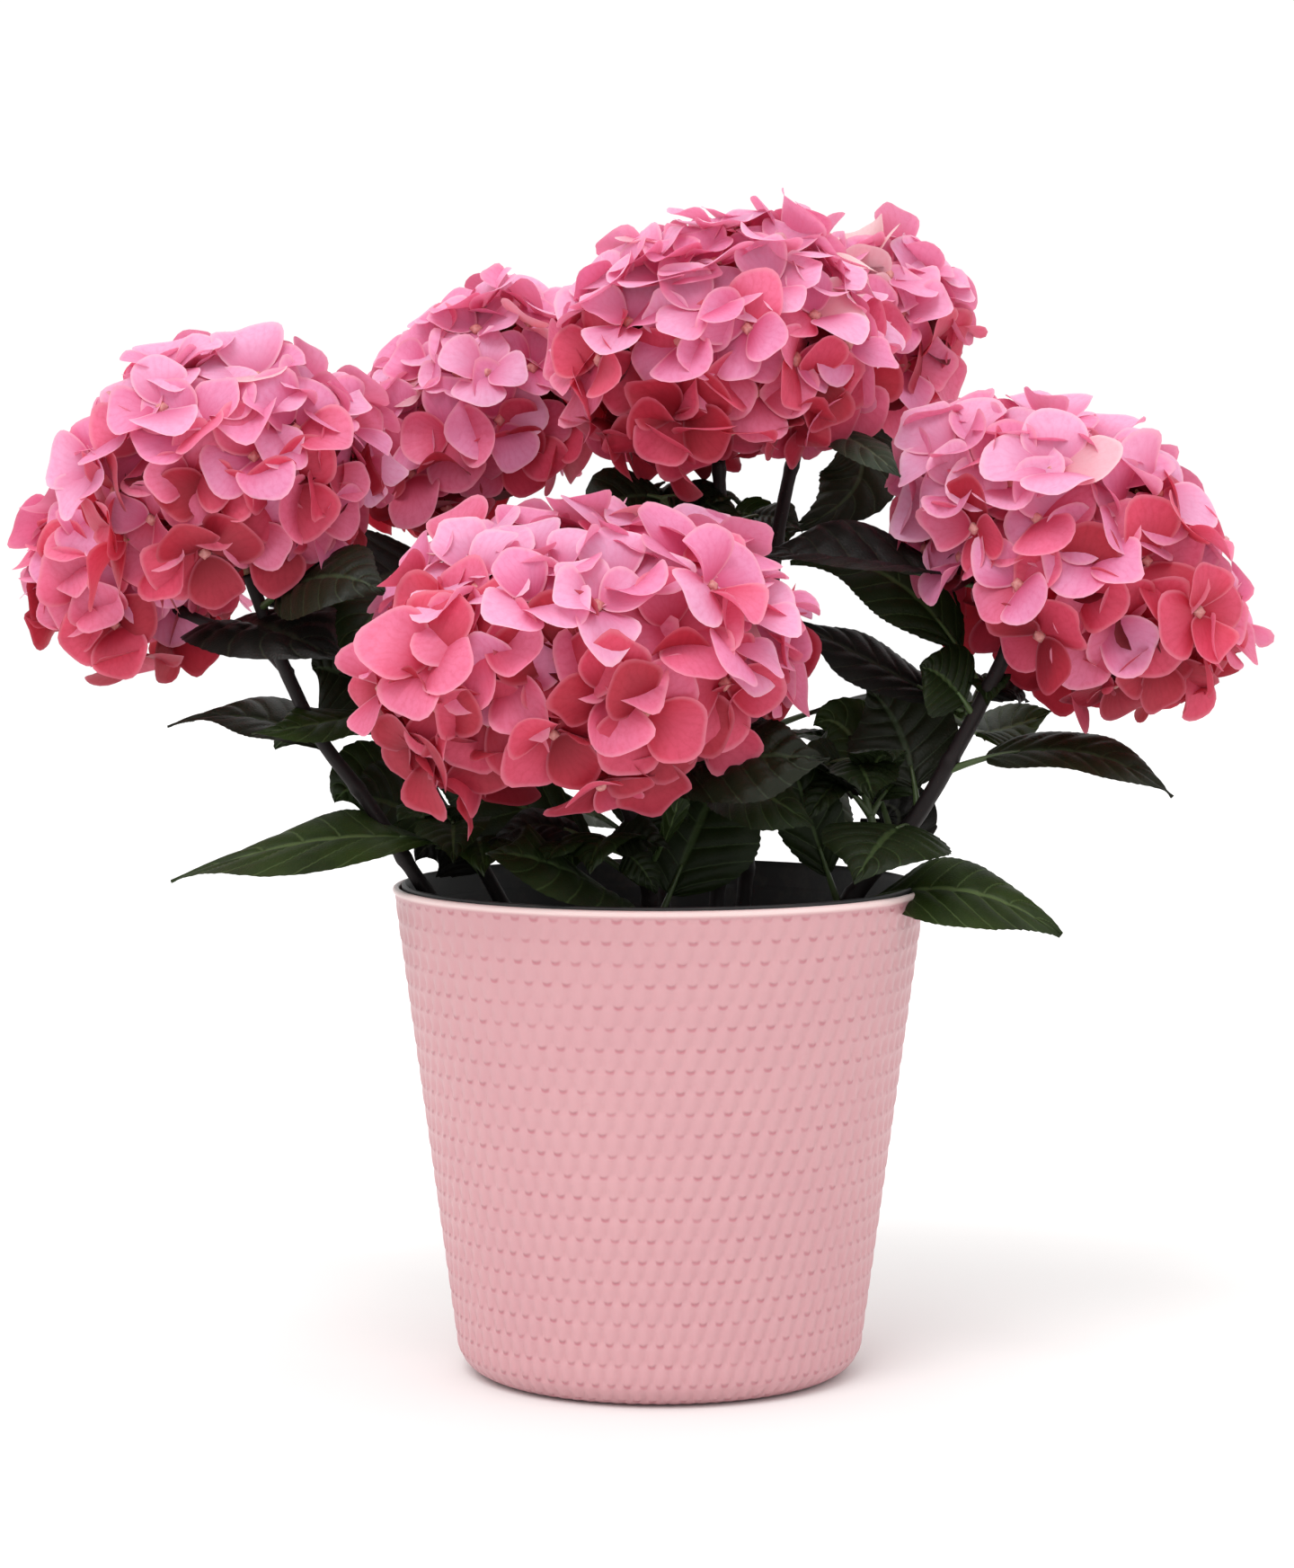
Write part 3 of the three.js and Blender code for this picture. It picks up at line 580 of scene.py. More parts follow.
# Painted light and shade: the first six tones are the same pink sepal lit and shaded, from the sunlit crown
# of a head, through its side, to the florets hidden in its shade; then two kinds of faded sepal. Each gives
# blade, its middle by the claw, what shines through it, and rim.
SEPAL_TONES = {
    "sepal_palest_pink": ("F4B7DD", "DC739F", "F57E9C", "F9CDDF"),
    "sepal_pale_pink": ("EF9DC8", "D55283", "EE6888", "F4B9CD"),
    "sepal_pink": ("EE7FA5", "CC3B5C", "E8546E", "EFA4B9"),
    "sepal_rose": ("DF5574", "B4253C", "DC3040", "E48A9F"),
    "sepal_deep_rose": ("BB3247", "880F21", "B42A36", "CE6A7E"),
    "sepal_shade_red": ("6E1621", "560D16", "6A0E14", "7E2A36"),
    "sepal_faded_blush": ("F0C0CC", "E29AA8", "F08E9A", "F8DCE0"),
    "sepal_faded_cream": ("F2DADC", "E4AEB4", "E8A09C", "F8E8E4"),
}


def square_to(axis):
    """Two directions for each axis that are square to it and to each other."""
    side = unit(np.cross(axis, np.where(np.abs(axis[:, 2:]) < 0.9, [[0, 0, 1.0]], [[1.0, 0, 0]])))
    return side, np.cross(axis, side)


def sepal_sheets(at, axis, spin, size, dice):
    """Sheets of all the sepals. A square grid (a, b) is pressed into a disc by
    X = a sqrt(1 - b^2 / 2), Y = b sqrt(1 - a^2 / 2), whose edge is made uneven by up to a
    tenth with waves of three and five to the round. Along t = (X + 1) / 2 the sheet follows
    an arc that leaves the floret's middle at the opening angle and bends back by the curl.
    Across, it is Y times half the width, narrowed towards the claw, and is lifted by
    cup * Y^2 and by two slow waves that grow towards the edge."""
    count = len(at)
    a, b = np.meshgrid(np.linspace(-1, 1, SEPAL_ROWS), np.linspace(-1, 1, SEPAL_COLUMNS), indexing="ij")
    flat_x, flat_y = a * np.sqrt(1 - b ** 2 / 2), b * np.sqrt(1 - a ** 2 / 2)
    per = (slice(None), None, None)

    quarter = np.arange(4) * math.pi / 2
    turn = (spin[:, None] + quarter + dice.normal(0, 0.09, (count, 4))).ravel()
    pair = np.tile([0.0, 1.0, 0.0, 1.0], count)
    length = (size[:, None] * dice.uniform(0.88, 1.1, (count, 4))).ravel()
    width = length * dice.uniform(0.55, 0.66, count * 4)
    mood = np.repeat(dice.normal(0, 1, count), 4)
    opening = 0.35 + 0.20 * mood + 0.22 * pair + dice.normal(0, 0.08, count * 4)
    curl = 0.42 + 0.3 * mood + dice.normal(0, 0.18, count * 4)
    curl = np.where(np.abs(curl) < 0.05, 0.05, curl)
    cup = 0.07 + 0.11 * pair + dice.normal(0, 0.09, count * 4)
    pointed = 0.3 * dice.uniform(0, 1, count * 4) ** 3
    wave_a, wave_b = dice.normal(0, 0.05, count * 4), dice.normal(0, 0.05, count * 4)
    phase = dice.uniform(0, 2 * np.pi, count * 4)
    around = np.arctan2(flat_y, flat_x)
    uneven = 1 + (flat_x + 1) / 2 * (0.06 * np.sin(3 * around + 2 * phase[per])
                                     + 0.035 * np.sin(5 * around - 3 * phase[per]))
    disc_x, disc_y = flat_x * uneven, flat_y * uneven
    t = (disc_x + 1) / 2

    axis, centre = np.repeat(axis, 4, 0), np.repeat(at, 4, 0)
    side, other = square_to(axis)
    out = side * np.cos(turn)[:, None] + other * np.sin(turn)[:, None]
    across = np.cross(axis, out)

    angle = opening[per] - curl[per] * t
    arc = length[per] * (1 + pointed[per] * np.clip(disc_x, 0, 1) ** 4 * (1 - np.abs(disc_y)))
    reach = 1.2 + arc / curl[per] * (np.sin(opening)[per] - np.sin(angle))
    rise = arc / curl[per] * (np.cos(angle) - np.cos(opening)[per]) + 0.9 * pair[per] + 0.5
    narrow = 1 - 0.38 * (1 - t) ** 2
    sideways = width[per] * disc_y * narrow
    lift = length[per] * (cup[per] * disc_y ** 2 * np.clip(t * 1.6, 0, 1)
                          + wave_a[per] * np.sin(3.2 * disc_y + phase[per]) * t
                          + wave_b[per] * np.sin(5.0 * t + phase[per]) * disc_y * t)
    points = (centre[:, None, None]
              + out[:, None, None] * (reach - np.sin(angle) * lift)[..., None]
              + axis[:, None, None] * (rise + np.cos(angle) * lift)[..., None]
              + across[:, None, None] * sideways[..., None])
    uv = np.broadcast_to(np.stack([(flat_x + 1) / 2, (flat_y + 1) / 2], -1), points.shape[:3] + (2,))
    return points.reshape(-1, 3), uv.reshape(-1, 2)


def sepal_material(name, blade, claw, glow, rim_colour):
    """Sepal tissue: a soft matt skin, with a faint down that lightens it at a glance, over
    watery cells that let light through, and redden it. The rim is a thin pale line, the
    middle is deeper, and faint veins fan out from the claw about every 1.5 mm."""
    material, tree, place = new_material(name)
    uv = add(tree, "UVMap", uv_map="Surface")
    centred = add(tree, "VectorMath", {0: uv, 1: (0.5, 0.5, 0.0)}, operation="SUBTRACT")
    edge = add(tree, "VectorMath", {0: centred}, operation="LENGTH")
    rim = add(tree, "MapRange", {"Value": edge, "From Min": 0.42, "From Max": 0.5, "To Max": 0.7},
              interpolation_type="SMOOTHSTEP")
    fan = add(tree, "VectorMath", {0: uv, 1: (-0.12, 0.5, 0.0)}, operation="SUBTRACT")
    parts = add(tree, "SeparateXYZ", {0: fan})
    near = add(tree, "MapRange", {"Value": parts, "From Min": 0.85, "From Max": 0.2, "To Max": 0.95})
    way = add(tree, "Math", {0: parts.outputs[1], 1: parts}, operation="ARCTAN2")
    blur = add(tree, "TexNoise", {"Vector": place, "Scale": 160.0, "Detail": 3.0})
    bent = add(tree, "Math", {0: blur, 1: 0.3, 2: way}, operation="MULTIPLY_ADD")
    ripple = add(tree, "Math", {0: bent, 1: 40.0}, operation="MULTIPLY")
    vein = add(tree, "Math", {0: ripple}, operation="SINE")
    veined = add(tree, "MapRange", {"Value": vein, "From Min": 0.3, "To Max": 0.14})
    mottle = add(tree, "TexNoise", {"Vector": place, "Scale": 420.0, "Detail": 3.0, "Roughness": 0.7})
    fleck = add(tree, "MapRange", {"Value": mottle, "From Min": 0.45, "From Max": 0.75, "To Max": 0.3})
    deeper = add(tree, "Mix", {"Factor": near, 6: blade, 7: claw}, data_type="RGBA")
    flecked = add(tree, "Mix", {"Factor": fleck, 6: deeper, 7: claw}, data_type="RGBA")
    body = add(tree, "Mix", {"Factor": veined, 6: flecked, 7: claw}, data_type="RGBA")
    skin = add(tree, "Mix", {"Factor": rim, 6: body, 7: rim_colour}, data_type="RGBA")
    relief = add(tree, "Bump", {"Height": vein, "Strength": 0.1, "Distance": 0.0002})
    front = add(tree, "BsdfPrincipled", {
        "Base Color": skin, "Roughness": 0.55, "Specular IOR Level": 0.35, "Normal": relief,
        "Sheen Weight": 0.16, "Sheen Roughness": 0.4, "Sheen Tint": "F4D4F4"})
    through = add(tree, "BsdfTranslucent", {"Color": glow})
    mixed = add(tree, "MixShader", {0: 0.34, 1: front, 2: through})
    add(tree, "OutputMaterial", {"Surface": mixed})
    return material


dice = np.random.default_rng(41)
spin = dice.uniform(0, np.pi / 2, len(floret_at))
points, uv = sepal_sheets(floret_at, floret_axis, spin, floret_size, dice)
# Each floret is painted in the tone of its light, so its light and shade are painted into its colour; each
# of its sepals may be a step off that, and a few in the sun are faded. Only florets inside a head are as
# dark as the shade red.
floret_tone = SHADE_RED - np.searchsorted(LIGHT_STEPS, floret_light)
floret_tone = np.where(floret_inner, floret_tone, np.minimum(floret_tone, DEEP_ROSE))
sepal_tone = np.repeat(floret_tone, 4)
step = dice.choice([-1, 0, 1], len(sepal_tone), p=[0.2, 0.6, 0.2])
sepal_tone = np.where(sepal_tone < SHADE_RED, np.clip(sepal_tone + step, 0, DEEP_ROSE), SHADE_RED)
faded = (dice.uniform(0, 1, len(sepal_tone)) < 0.06) & (np.repeat(floret_light, 4) > 0.2)
sepal_tone = np.where(faded, dice.choice(FADED, len(sepal_tone), p=[0.7, 0.3]), sepal_tone)
sepal_materials = [sepal_material(name, *tones) for name, tones in SEPAL_TONES.items()]
one = sheet_triangles(SEPAL_ROWS, SEPAL_COLUMNS)
each = SEPAL_ROWS * SEPAL_COLUMNS
sepal_points = points.reshape(len(floret_at), 4 * each, 3)
sepal_uv = uv.reshape(len(floret_at), 4 * each, 2)
sepal_tone = sepal_tone.reshape(-1, 4)
for number, name in enumerate(HEADS):
    mine = floret_head == number
    count = int(mine.sum()) * 4
    make_piece(f"sepals_{name}", sepal_points[mine].reshape(-1, 3), repeated(one, each, count),
               sepal_materials, [f"flower_head_{name}"],
               tone=np.repeat(sepal_tone[mine].ravel(), len(one)), uv=sepal_uv[mine].reshape(-1, 2))

# ---------------------------------------------------------------- flower heads: buds
# In the middle of each floret sits its tiny true flower, mostly a closed bud of four lobes,
# about 5 mm across, and small green buds stay behind on the rays.


def lobed_buds(at, axis, size, lobes=4, rows=6, columns=12):
    """Small bodies: a flattened ball about each axis whose radius swells by 20 per cent
    over each lobe."""
    side, other = square_to(axis)
    polar = np.linspace(0.12, 0.88, rows) * np.pi
    angle = 2 * np.pi * np.arange(columns) / columns
    flat = np.sin(polar)[:, None] * (1 + 0.2 * np.cos(lobes * angle))
    high = -0.8 * np.cos(polar)[:, None] * np.ones((1, columns))
    ring = (side[:, None, None] * (flat * np.cos(angle))[..., None]
            + other[:, None, None] * (flat * np.sin(angle))[..., None]
            + axis[:, None, None] * high[..., None])
    wall = (at[:, None, None] + ring * size[:, None, None, None]).reshape(len(at), -1, 3)
    foot, top = at - axis * 0.85 * size[:, None], at + axis * 0.85 * size[:, None]
    points = np.concatenate([wall, foot[:, None], top[:, None]], 1)
    return points.reshape(-1, 3), repeated(closed_rings(rows, columns), rows * columns + 2, len(at))


# Bud skin: smooth and waxy, pink flecked with tan on the florets, green on the rays.
bud_skin = mottled_material("floret_bud_tan_pink", 700.0, 1.0, "AE5662", "DDA297", 0.5)
green_bud = mottled_material("unopened_bud_green", 500.0, 1.0, "5E7A3A", "A7A06A", 0.5)

buds = lobed_buds(floret_at + floret_axis * 1.7, floret_axis, dice.uniform(2.4, 3.1, len(floret_at)))
middles = np.array([head[0] for head in HEADS.values()], float)[floret_head][::2]
shy_at = middles + 0.84 * (floret_at[::2] - middles) + dice.normal(0, 4, middles.shape)
shy_buds = lobed_buds(shy_at, floret_axis[::2], dice.uniform(1.0, 1.7, len(shy_at)))
points, triangles = joined(buds, shy_buds)
tone = np.repeat([0, 1], [len(buds[1]), len(shy_buds[1])])
make_piece("floret_buds", points, triangles, [bud_skin, green_bud], tone=tone)

# ---------------------------------------------------------------- leaves
# The leaves stand in opposite pairs on short stalks. Each is a broad egg shape drawn out to
# a point, toothed round the edge, with about seven pairs of veins that sink into the blade.
# Most are a satin dark green, some flushed nearly black, and a few are puckered.

LEAVES = {  # limb, height of the stalk's foot, middle and tip, width, tilt, tone, pucker, fold, skew
    "left_rim": ("stem_back_left", 233, (-140, -46, 245), (-215, -44, 226), 54, 20, 1, 0.3, 0.2, -0.6),
    "left_long": ("stem_left", 271, (-176, 4, 293.5), (-222, 8, 291), 42, 17, 2, 0.3, 0.30, 0),
    "left_short": ("stem_back_left", 300, (-149, -34, 295), (-179, -44, 291), 33, 24, 1, 0.2, 0.15, -0.3),
    "left_dark": ("shoot_far_left", 334, (-176, -36, 338), (-134, -80, 323), 66, 28, 3, 1.3, 0.2, 0),
    "left_front": ("stem_left", 345, (-145, -72, 360), (-117, -86, 353), 47, 46, 2, 0.4, 0.1, 0),
    "left_hanging": ("stem_back_left", 348, (-121, -22, 347), (-139, -46, 317), 46, 50, 0, 0.3, 0.2, 0),
    "left_standing": ("stem_back_left", 298, (-143, 18, 314), (-157, 15, 316), 46, 75, 2, 0.3, 0.1, 0),
    "left_shade": ("stem_back_left", 372, (-130, 20, 356), (-176, 10, 345), 50, 74, 3, 0.3, 0.1, 0),
    "rim_shade": ("stem_back_left", 238, (-119, -2, 256), (-136, -14, 260), 44, 60, 0, 0.4, 0.1, 0),
    "rim_low": ("stem_back_left", 214, (-96, 8, 237), (-110, 2, 230), 30, 70, 3, 0.4, 0.1, 0),
    "right_low_green": ("stem_right", 238, (88, 22, 284), (70, 28, 290), 36, 70, 1, 0.3, 0.1, 0),
    "right_low_dark": ("stem_right", 226, (108, 8, 250), (92, 0, 256), 34, 70, 3, 0.3, 0.1, 0),
    "low_shade": ("stem_front", 222, (-70, -20, 261), (-102, -12, 266), 38, 70, 0, 0.4, 0.1, 0),
    "low_shade_right": ("stem_front", 236, (-2, -22, 264), (26, -14, 270), 40, 70, 0, 0.4, 0.1, 0),
    "left_low": ("stem_back_left", 252, (-130, 4, 264), (-146, -2, 257), 44, 60, 0, 0.4, 0.15, 0),
    "front_upright": ("stem_front", 200, (17, -14, 247), (29, 8, 271), 56, 78, 0, 0.3, 0.1, 0),
    "front_fold": ("stem_centre", 262, (39, -40, 267), (67, -66, 252), 44, 45, 0, 0.3, 0.1, 0.6),
    "front_curl": ("stem_front", 228, (6, -60, 257), (7, -58, 280), 12, 4, 1, 0.3, 0.1, 0),
    "front_glossy": ("stem_front", 272, (33, -104, 284), (71, -108, 283), 48, 44, 2, 1.8, 0.05, 0),
    "front_left": ("stem_front", 205, (-42, -84, 235), (-75, -88, 242), 56, 30, 0, 0.4, 0.2, 0),
    "right_upright": ("stem_right", 208, (66, -12, 254), (58, 4, 281), 30, 80, 0, 0.3, 0.1, 0),
    "right_folded": ("stem_right", 246, (99, -50, 246), (83, -80, 229), 56, 24, 0, 0.5, 0.1, 0),
    "right_rim": ("stem_right", 207, (128, -42, 222), (176, -52, 203), 56, 26, 1, 0.3, 0.15, 0.4),
    "right_long": ("stem_right", 271, (181, -26, 282), (227, -30, 262), 50, 18, 2, 0.4, 0.2, 0),
    "right_behind": ("stem_right", 290, (155, 32, 288), (181, 50, 296), 38, 36, 1, 0.4, 0.1, -0.6),
    "right_inner": ("stem_right", 296, (127, -20, 313), (115, -20, 319), 40, 50, 0, 0.3, 0.2, 0),
    "right_standing": ("stem_right", 252, (109, 4, 286), (93, 10, 309), 50, 78, 2, 0.3, 0.1, 0),
    "right_dark": ("stem_right", 296, (98, -4, 319), (57, 0, 341), 37, 28, 3, 0.35, 0.1, 0),
    "right_green": ("stem_right", 305, (108, 14, 355), (59, 20, 364.5), 36, 50, 0, 0.3, 0.1, 0),
    "right_crinkled": ("stem_right", 350, (84, -40, 365), (40, -40, 366), 54, 20, 3, 1.5, 0.5, -0.2),
    "top_behind": ("stem_back_right", 440, (93, 64, 404), (60, 62, 378), 36, 62, 2, 0.4, 0.1, 0.2),
    "top_small": ("stem_back_right", 424, (84, -14, 420), (105, -46, 403), 28, 20, 4, 0.5, 0.1, 0.3),
    "back_far_left": ("stem_back_left", 274, (-148, 70, 288), (-182, 96, 276), 62, -20, 0, 0.4, 0.2, 0),
    "back_low_left": ("stem_back", 226, (-50, 82, 250), (-96, 112, 232), 62, -24, 1, 0.4, 0.2, 0),
    "back_low_right": ("stem_back", 232, (52, 90, 254), (96, 124, 230), 62, -24, 0, 0.4, 0.2, 0),
    "back_end": ("stem_back", 262, (6, 148, 272), (14, 198, 250), 66, -20, 1, 0.4, 0.2, 0),
    "back_far_right": ("stem_back_right", 286, (110, 84, 299), (156, 118, 278), 62, -20, 0, 0.4, 0.2, 0),
}
LEAVES_IN_MASSES = (  # those that stand in or beside a foliage mass, and have no CAD node
    "left_standing", "left_shade", "rim_shade", "rim_low", "right_low_green", "right_low_dark",
    "low_shade", "low_shade_right", "left_low", "front_curl")
VEIN_PAIRS = 7
STALK_PART, STALK_IN_BLADE = 0.16, 0.14  # of the midrib's length, before the blade and inside it
MIDRIB_POINTS = 200


def midribs(base, middle, tip, tilt):
    """The midrib's points and its frames: the curve (1 - t)^2 base + 2 t (1 - t) k + t^2 tip,
    with k chosen so that it passes through the middle, its direction, the direction across
    the blade, square to the way the upper side faces, and the blade's normal."""
    t = np.linspace(0, 1, MIDRIB_POINTS)[None, :, None]
    knee = 2 * middle - (base + tip) / 2
    path = (1 - t) ** 2 * base[:, None] + 2 * t * (1 - t) * knee[:, None] + t ** 2 * tip[:, None]
    along = unit(2 * (1 - t) * (knee - base)[:, None] + 2 * t * (tip - knee)[:, None])
    angle = np.radians(tilt)
    facing = np.stack([0 * angle, -np.sin(angle), np.cos(angle)], 1)[:, None]
    across = unit(np.cross(along, facing))
    return path, across, np.cross(across, along)


def leaf_sheets(base, middle, tip, width, tilt, pucker, fold, skew, seed, rows, columns):
    """Blades as sheets over (s, v): s runs from the stalk to the point, v from edge to edge.
    The half width is w(s) = 0.515 width sin(pi s^0.76)^0.85, halved towards the point, with
    teeth of about 5 mm at the edge, and the two halves are sheared along the midrib by
    skew * v * w. The height above the midrib is fold * |v| w, less a camber of 0.2 v^2 w, a
    slow wave along the edge, a furrow of 0.5 mm over each vein, where
    s - 0.26 |v|^1.2 (1 - 0.35 s) = k / 7, one of 0.8 mm over the midrib, between the veins a
    swelling of up to the pucker in mm, and crossed small bumps where that is over 0.6 mm."""
    dice = np.random.default_rng(seed)
    count = len(base)
    path, across, normal = midribs(base, middle, tip, tilt)
    s = np.linspace(0, 1, rows)
    pick = np.round((STALK_PART + (1 - STALK_PART) * s) * (MIDRIB_POINTS - 1)).astype(int)
    path, across, normal = path[:, pick], across[:, pick], normal[:, pick]
    v = np.linspace(-1, 1, columns)
    v = np.sign(v) * np.abs(v) ** 1.1
    S, V = np.meshgrid(s, v, indexing="ij")
    per = (slice(None), None, None)
    half = (width[per] / 2 * 1.03 * np.sin(np.pi * S ** 0.76).clip(0, 1) ** 0.85
            * (1 - 0.5 * (np.clip(S - 0.6, 0, 1) / 0.4) ** 1.2))
    half = np.maximum(half, 1.0 - 0.8 * S)
    length = np.linalg.norm(tip - base, axis=1) * 1.1
    teeth = (S * np.round(length / 5.5)[per]) % 1.0
    toothed = 1 + (0.9 / np.maximum(half, 6)) * (teeth - 0.3) * np.abs(V) ** 10 * (S > 0.1) * (S < 0.97)
    origin = S - 0.26 * np.abs(V) ** 1.2 * (1 - 0.35 * S)
    phase = origin * VEIN_PAIRS + 0.5 * (V > 0) * 0.35
    from_vein = np.abs((phase + 0.5) % 1.0 - 0.5)
    vein = (np.exp(-(from_vein * length[per] / VEIN_PAIRS / 1.5) ** 2)
            * (np.abs(V) > 0.03) * (1 - np.abs(V) ** 3))
    swell = (np.sin(np.pi * np.clip(from_vein * 2, 0, 1) / 2)
             * np.sin(np.pi * np.clip(np.abs(V) * 1.02, 0, 1)) ** 0.6)
    bubble = (np.sin(S * length[per] / 3.1 + 5 * V * half / 6 + seed) * np.sin(V * half / 2.6 + S * 9)
              * np.clip(pucker[per] - 0.6, 0, 2) * 0.55)
    a, b, c = dice.uniform(0.85, 1.15, (3, count))
    shift = dice.uniform(0, 2 * np.pi, count)
    height = (fold[per] * np.abs(V) * half * a[per] - 0.20 * V ** 2 * half * b[per]
              + 1.6 * c[per] * np.sin(S * 9 + shift[per] + 1.5 * np.sign(V)) * V ** 2
              - 0.5 * vein + (0.45 + pucker[per]) * swell * 0.9 + bubble * (1 - np.abs(V) ** 4))
    height = height - 0.8 * np.exp(-(V * half / 1.6) ** 2)
    along = np.cross(normal, across)
    points = (path[:, :, None] + (across[:, :, None] + skew[:, None, None, None] * along[:, :, None])
              * (V * half * toothed)[..., None] + normal[:, :, None] * height[..., None])
    uv = np.broadcast_to(np.stack([S, (V + 1) / 2], -1), points.shape[:3] + (2,))
    return points.reshape(-1, 3), uv.reshape(-1, 2)


def leaf_material(name, blade, deep, vein_colour, rough):
    """Leaf skin: a waxy, satin upper skin over green tissue. The veins are paler, the blade
    darkens in soft patches, and fine net veins show as a texture of about 1 mm."""
    material, tree, place = new_material(name)
    uv = add(tree, "UVMap", uv_map="Surface")
    parts = add(tree, "SeparateXYZ", {0: uv})
    from_rib = add(tree, "Math", {0: parts.outputs[1], 1: 2.0, 2: -1.0}, operation="MULTIPLY_ADD")
    off = add(tree, "Math", {0: from_rib}, operation="ABSOLUTE")
    bent = add(tree, "Math", {0: off, 1: 1.2}, operation="POWER")
    easing = add(tree, "Math", {0: parts, 1: -0.35, 2: 1.0}, operation="MULTIPLY_ADD")
    sweep = add(tree, "Math", {0: bent, 1: easing}, operation="MULTIPLY")
    origin = add(tree, "Math", {0: sweep, 1: -0.26, 2: parts}, operation="MULTIPLY_ADD")
    stagger = add(tree, "Math", {0: parts.outputs[1], 1: 0.5}, operation="GREATER_THAN")
    paced = add(tree, "Math", {0: origin, 1: float(VEIN_PAIRS)}, operation="MULTIPLY")
    shifted = add(tree, "Math", {0: stagger, 1: 0.175, 2: paced}, operation="MULTIPLY_ADD")
    swing = add(tree, "Math", {0: shifted, 1: 0.5}, operation="PINGPONG")
    side_vein = add(tree, "MapRange", {"Value": swing, "From Min": 0.055, "From Max": 0.012, "To Max": 0.6})
    rib = add(tree, "MapRange", {"Value": off, "From Min": 0.075, "From Max": 0.03})
    veins = add(tree, "Math", {0: side_vein, 1: rib}, operation="MAXIMUM")
    patch = add(tree, "TexNoise", {"Vector": place, "Scale": 38.0, "Detail": 5.0, "Roughness": 0.62})
    spread = add(tree, "MapRange", {"Value": patch, "From Min": 0.35, "From Max": 0.68})
    tissue = add(tree, "Mix", {"Factor": spread, 6: blade, 7: deep}, data_type="RGBA")
    skin = add(tree, "Mix", {"Factor": veins, 6: tissue, 7: vein_colour}, data_type="RGBA")
    net = add(tree, "TexVoronoi", {"Vector": place, "Scale": 620.0}, feature="DISTANCE_TO_EDGE")
    relief = add(tree, "Bump", {"Height": net, "Strength": 0.35, "Distance": 0.0006})
    shine = add(tree, "MapRange", {"Value": patch, "To Min": rough, "To Max": rough + 0.14})
    front = add(tree, "BsdfPrincipled", {
        "Base Color": skin, "Roughness": shine, "Specular IOR Level": 0.24, "Normal": relief})
    through = add(tree, "BsdfTranslucent", {"Color": skin})
    mixed = add(tree, "MixShader", {0: 0.16, 1: front, 2: through})
    add(tree, "OutputMaterial", {"Surface": mixed})
    return material


leaf_materials = [
    leaf_material("leaf_dark_green", "1E2A10", "121A06", "3E4E2C", 0.46),
    leaf_material("leaf_mid_green", "2A3914", "1A260A", "4E5E38", 0.46),
    leaf_material("leaf_green_black", "1E2213", "121509", "343F2A", 0.40),
    leaf_material("leaf_purple_black", "1B1A17", "100F0D", "33352A", 0.42),
    leaf_material("leaf_grey_green", "3B4537", "2A3328", "5F6A54", 0.48),
]


def limb_at(limb, height):
    """The point of a stem's middle line at a height."""
    path = stem_paths[limb]
    return np.array([np.interp(height, path[:, 2], path[:, axis]) for axis in range(3)])


def leaf_stalks(base, middle, tip, tilt):
    """Stalks: the first part of each midrib as a slim tube that ends a little into the blade."""
    path, _, _ = midribs(base, middle, tip, tilt)
    rows = np.linspace(0, (STALK_PART + STALK_IN_BLADE) * (MIDRIB_POINTS - 1), 10).astype(int)
    return path[:, rows]


OUTER_ROWS, OUTER_COLUMNS = 66, 27
limbs, heights, middle, tip, width, tilt, tone, pucker, fold, skew = (
    np.array(part) for part in zip(*LEAVES.values()))
base = np.array([limb_at(limb, height) for limb, height in zip(limbs, heights)])
points, uv = leaf_sheets(base, middle, tip, width, tilt, pucker, fold, skew, 3, OUTER_ROWS, OUTER_COLUMNS)
one = sheet_triangles(OUTER_ROWS, OUTER_COLUMNS)
make_piece("leaves_outer", points, repeated(one, OUTER_ROWS * OUTER_COLUMNS, len(base)), leaf_materials,
           [f"leaf_{name}" for name in LEAVES if name not in LEAVES_IN_MASSES],
           tone=np.repeat(tone, len(one)), uv=uv)
outer_stalks = leaf_stalks(base, middle, tip, tilt)

# The masses in the middle of the plant: each is grown on from the nearest stem, either as
# pairs of leaves on the stem itself or on a short side shoot that bears them.

MASSES = {  # middle, half sizes, the limb it grows from, pairs of leaves, seed
    "left_low": ((-92, -22, 240), (30, 40, 26), "stem_back_left", 3, 11),
    "left_high": ((-126, 14, 308), (20, 34, 44), "stem_back_left", 3, 12),
    "front_low": ((-38, -62, 233), (42, 34, 22), "stem_front", 3, 13),
    "centre_low": ((24, -24, 262), (26, 34, 28), "stem_centre", 3, 14),
    "right_low": ((86, 2, 266), (34, 42, 30), "stem_right", 4, 15),
    "centre_high": ((-2, -12, 386), (46, 34, 19), "stem_centre", 3, 16),
    "right_high": ((146, 10, 304), (22, 32, 20), "stem_right", 2, 17),
    "back_left": ((-84, 82, 288), (48, 36, 26), "stem_back_left", 3, 18),
    "back_right": ((92, 84, 266), (46, 36, 24), "stem_back_right", 3, 19),
    "back_top": ((30, 66, 380), (40, 30, 22), "stem_back_right", 3, 20),
}


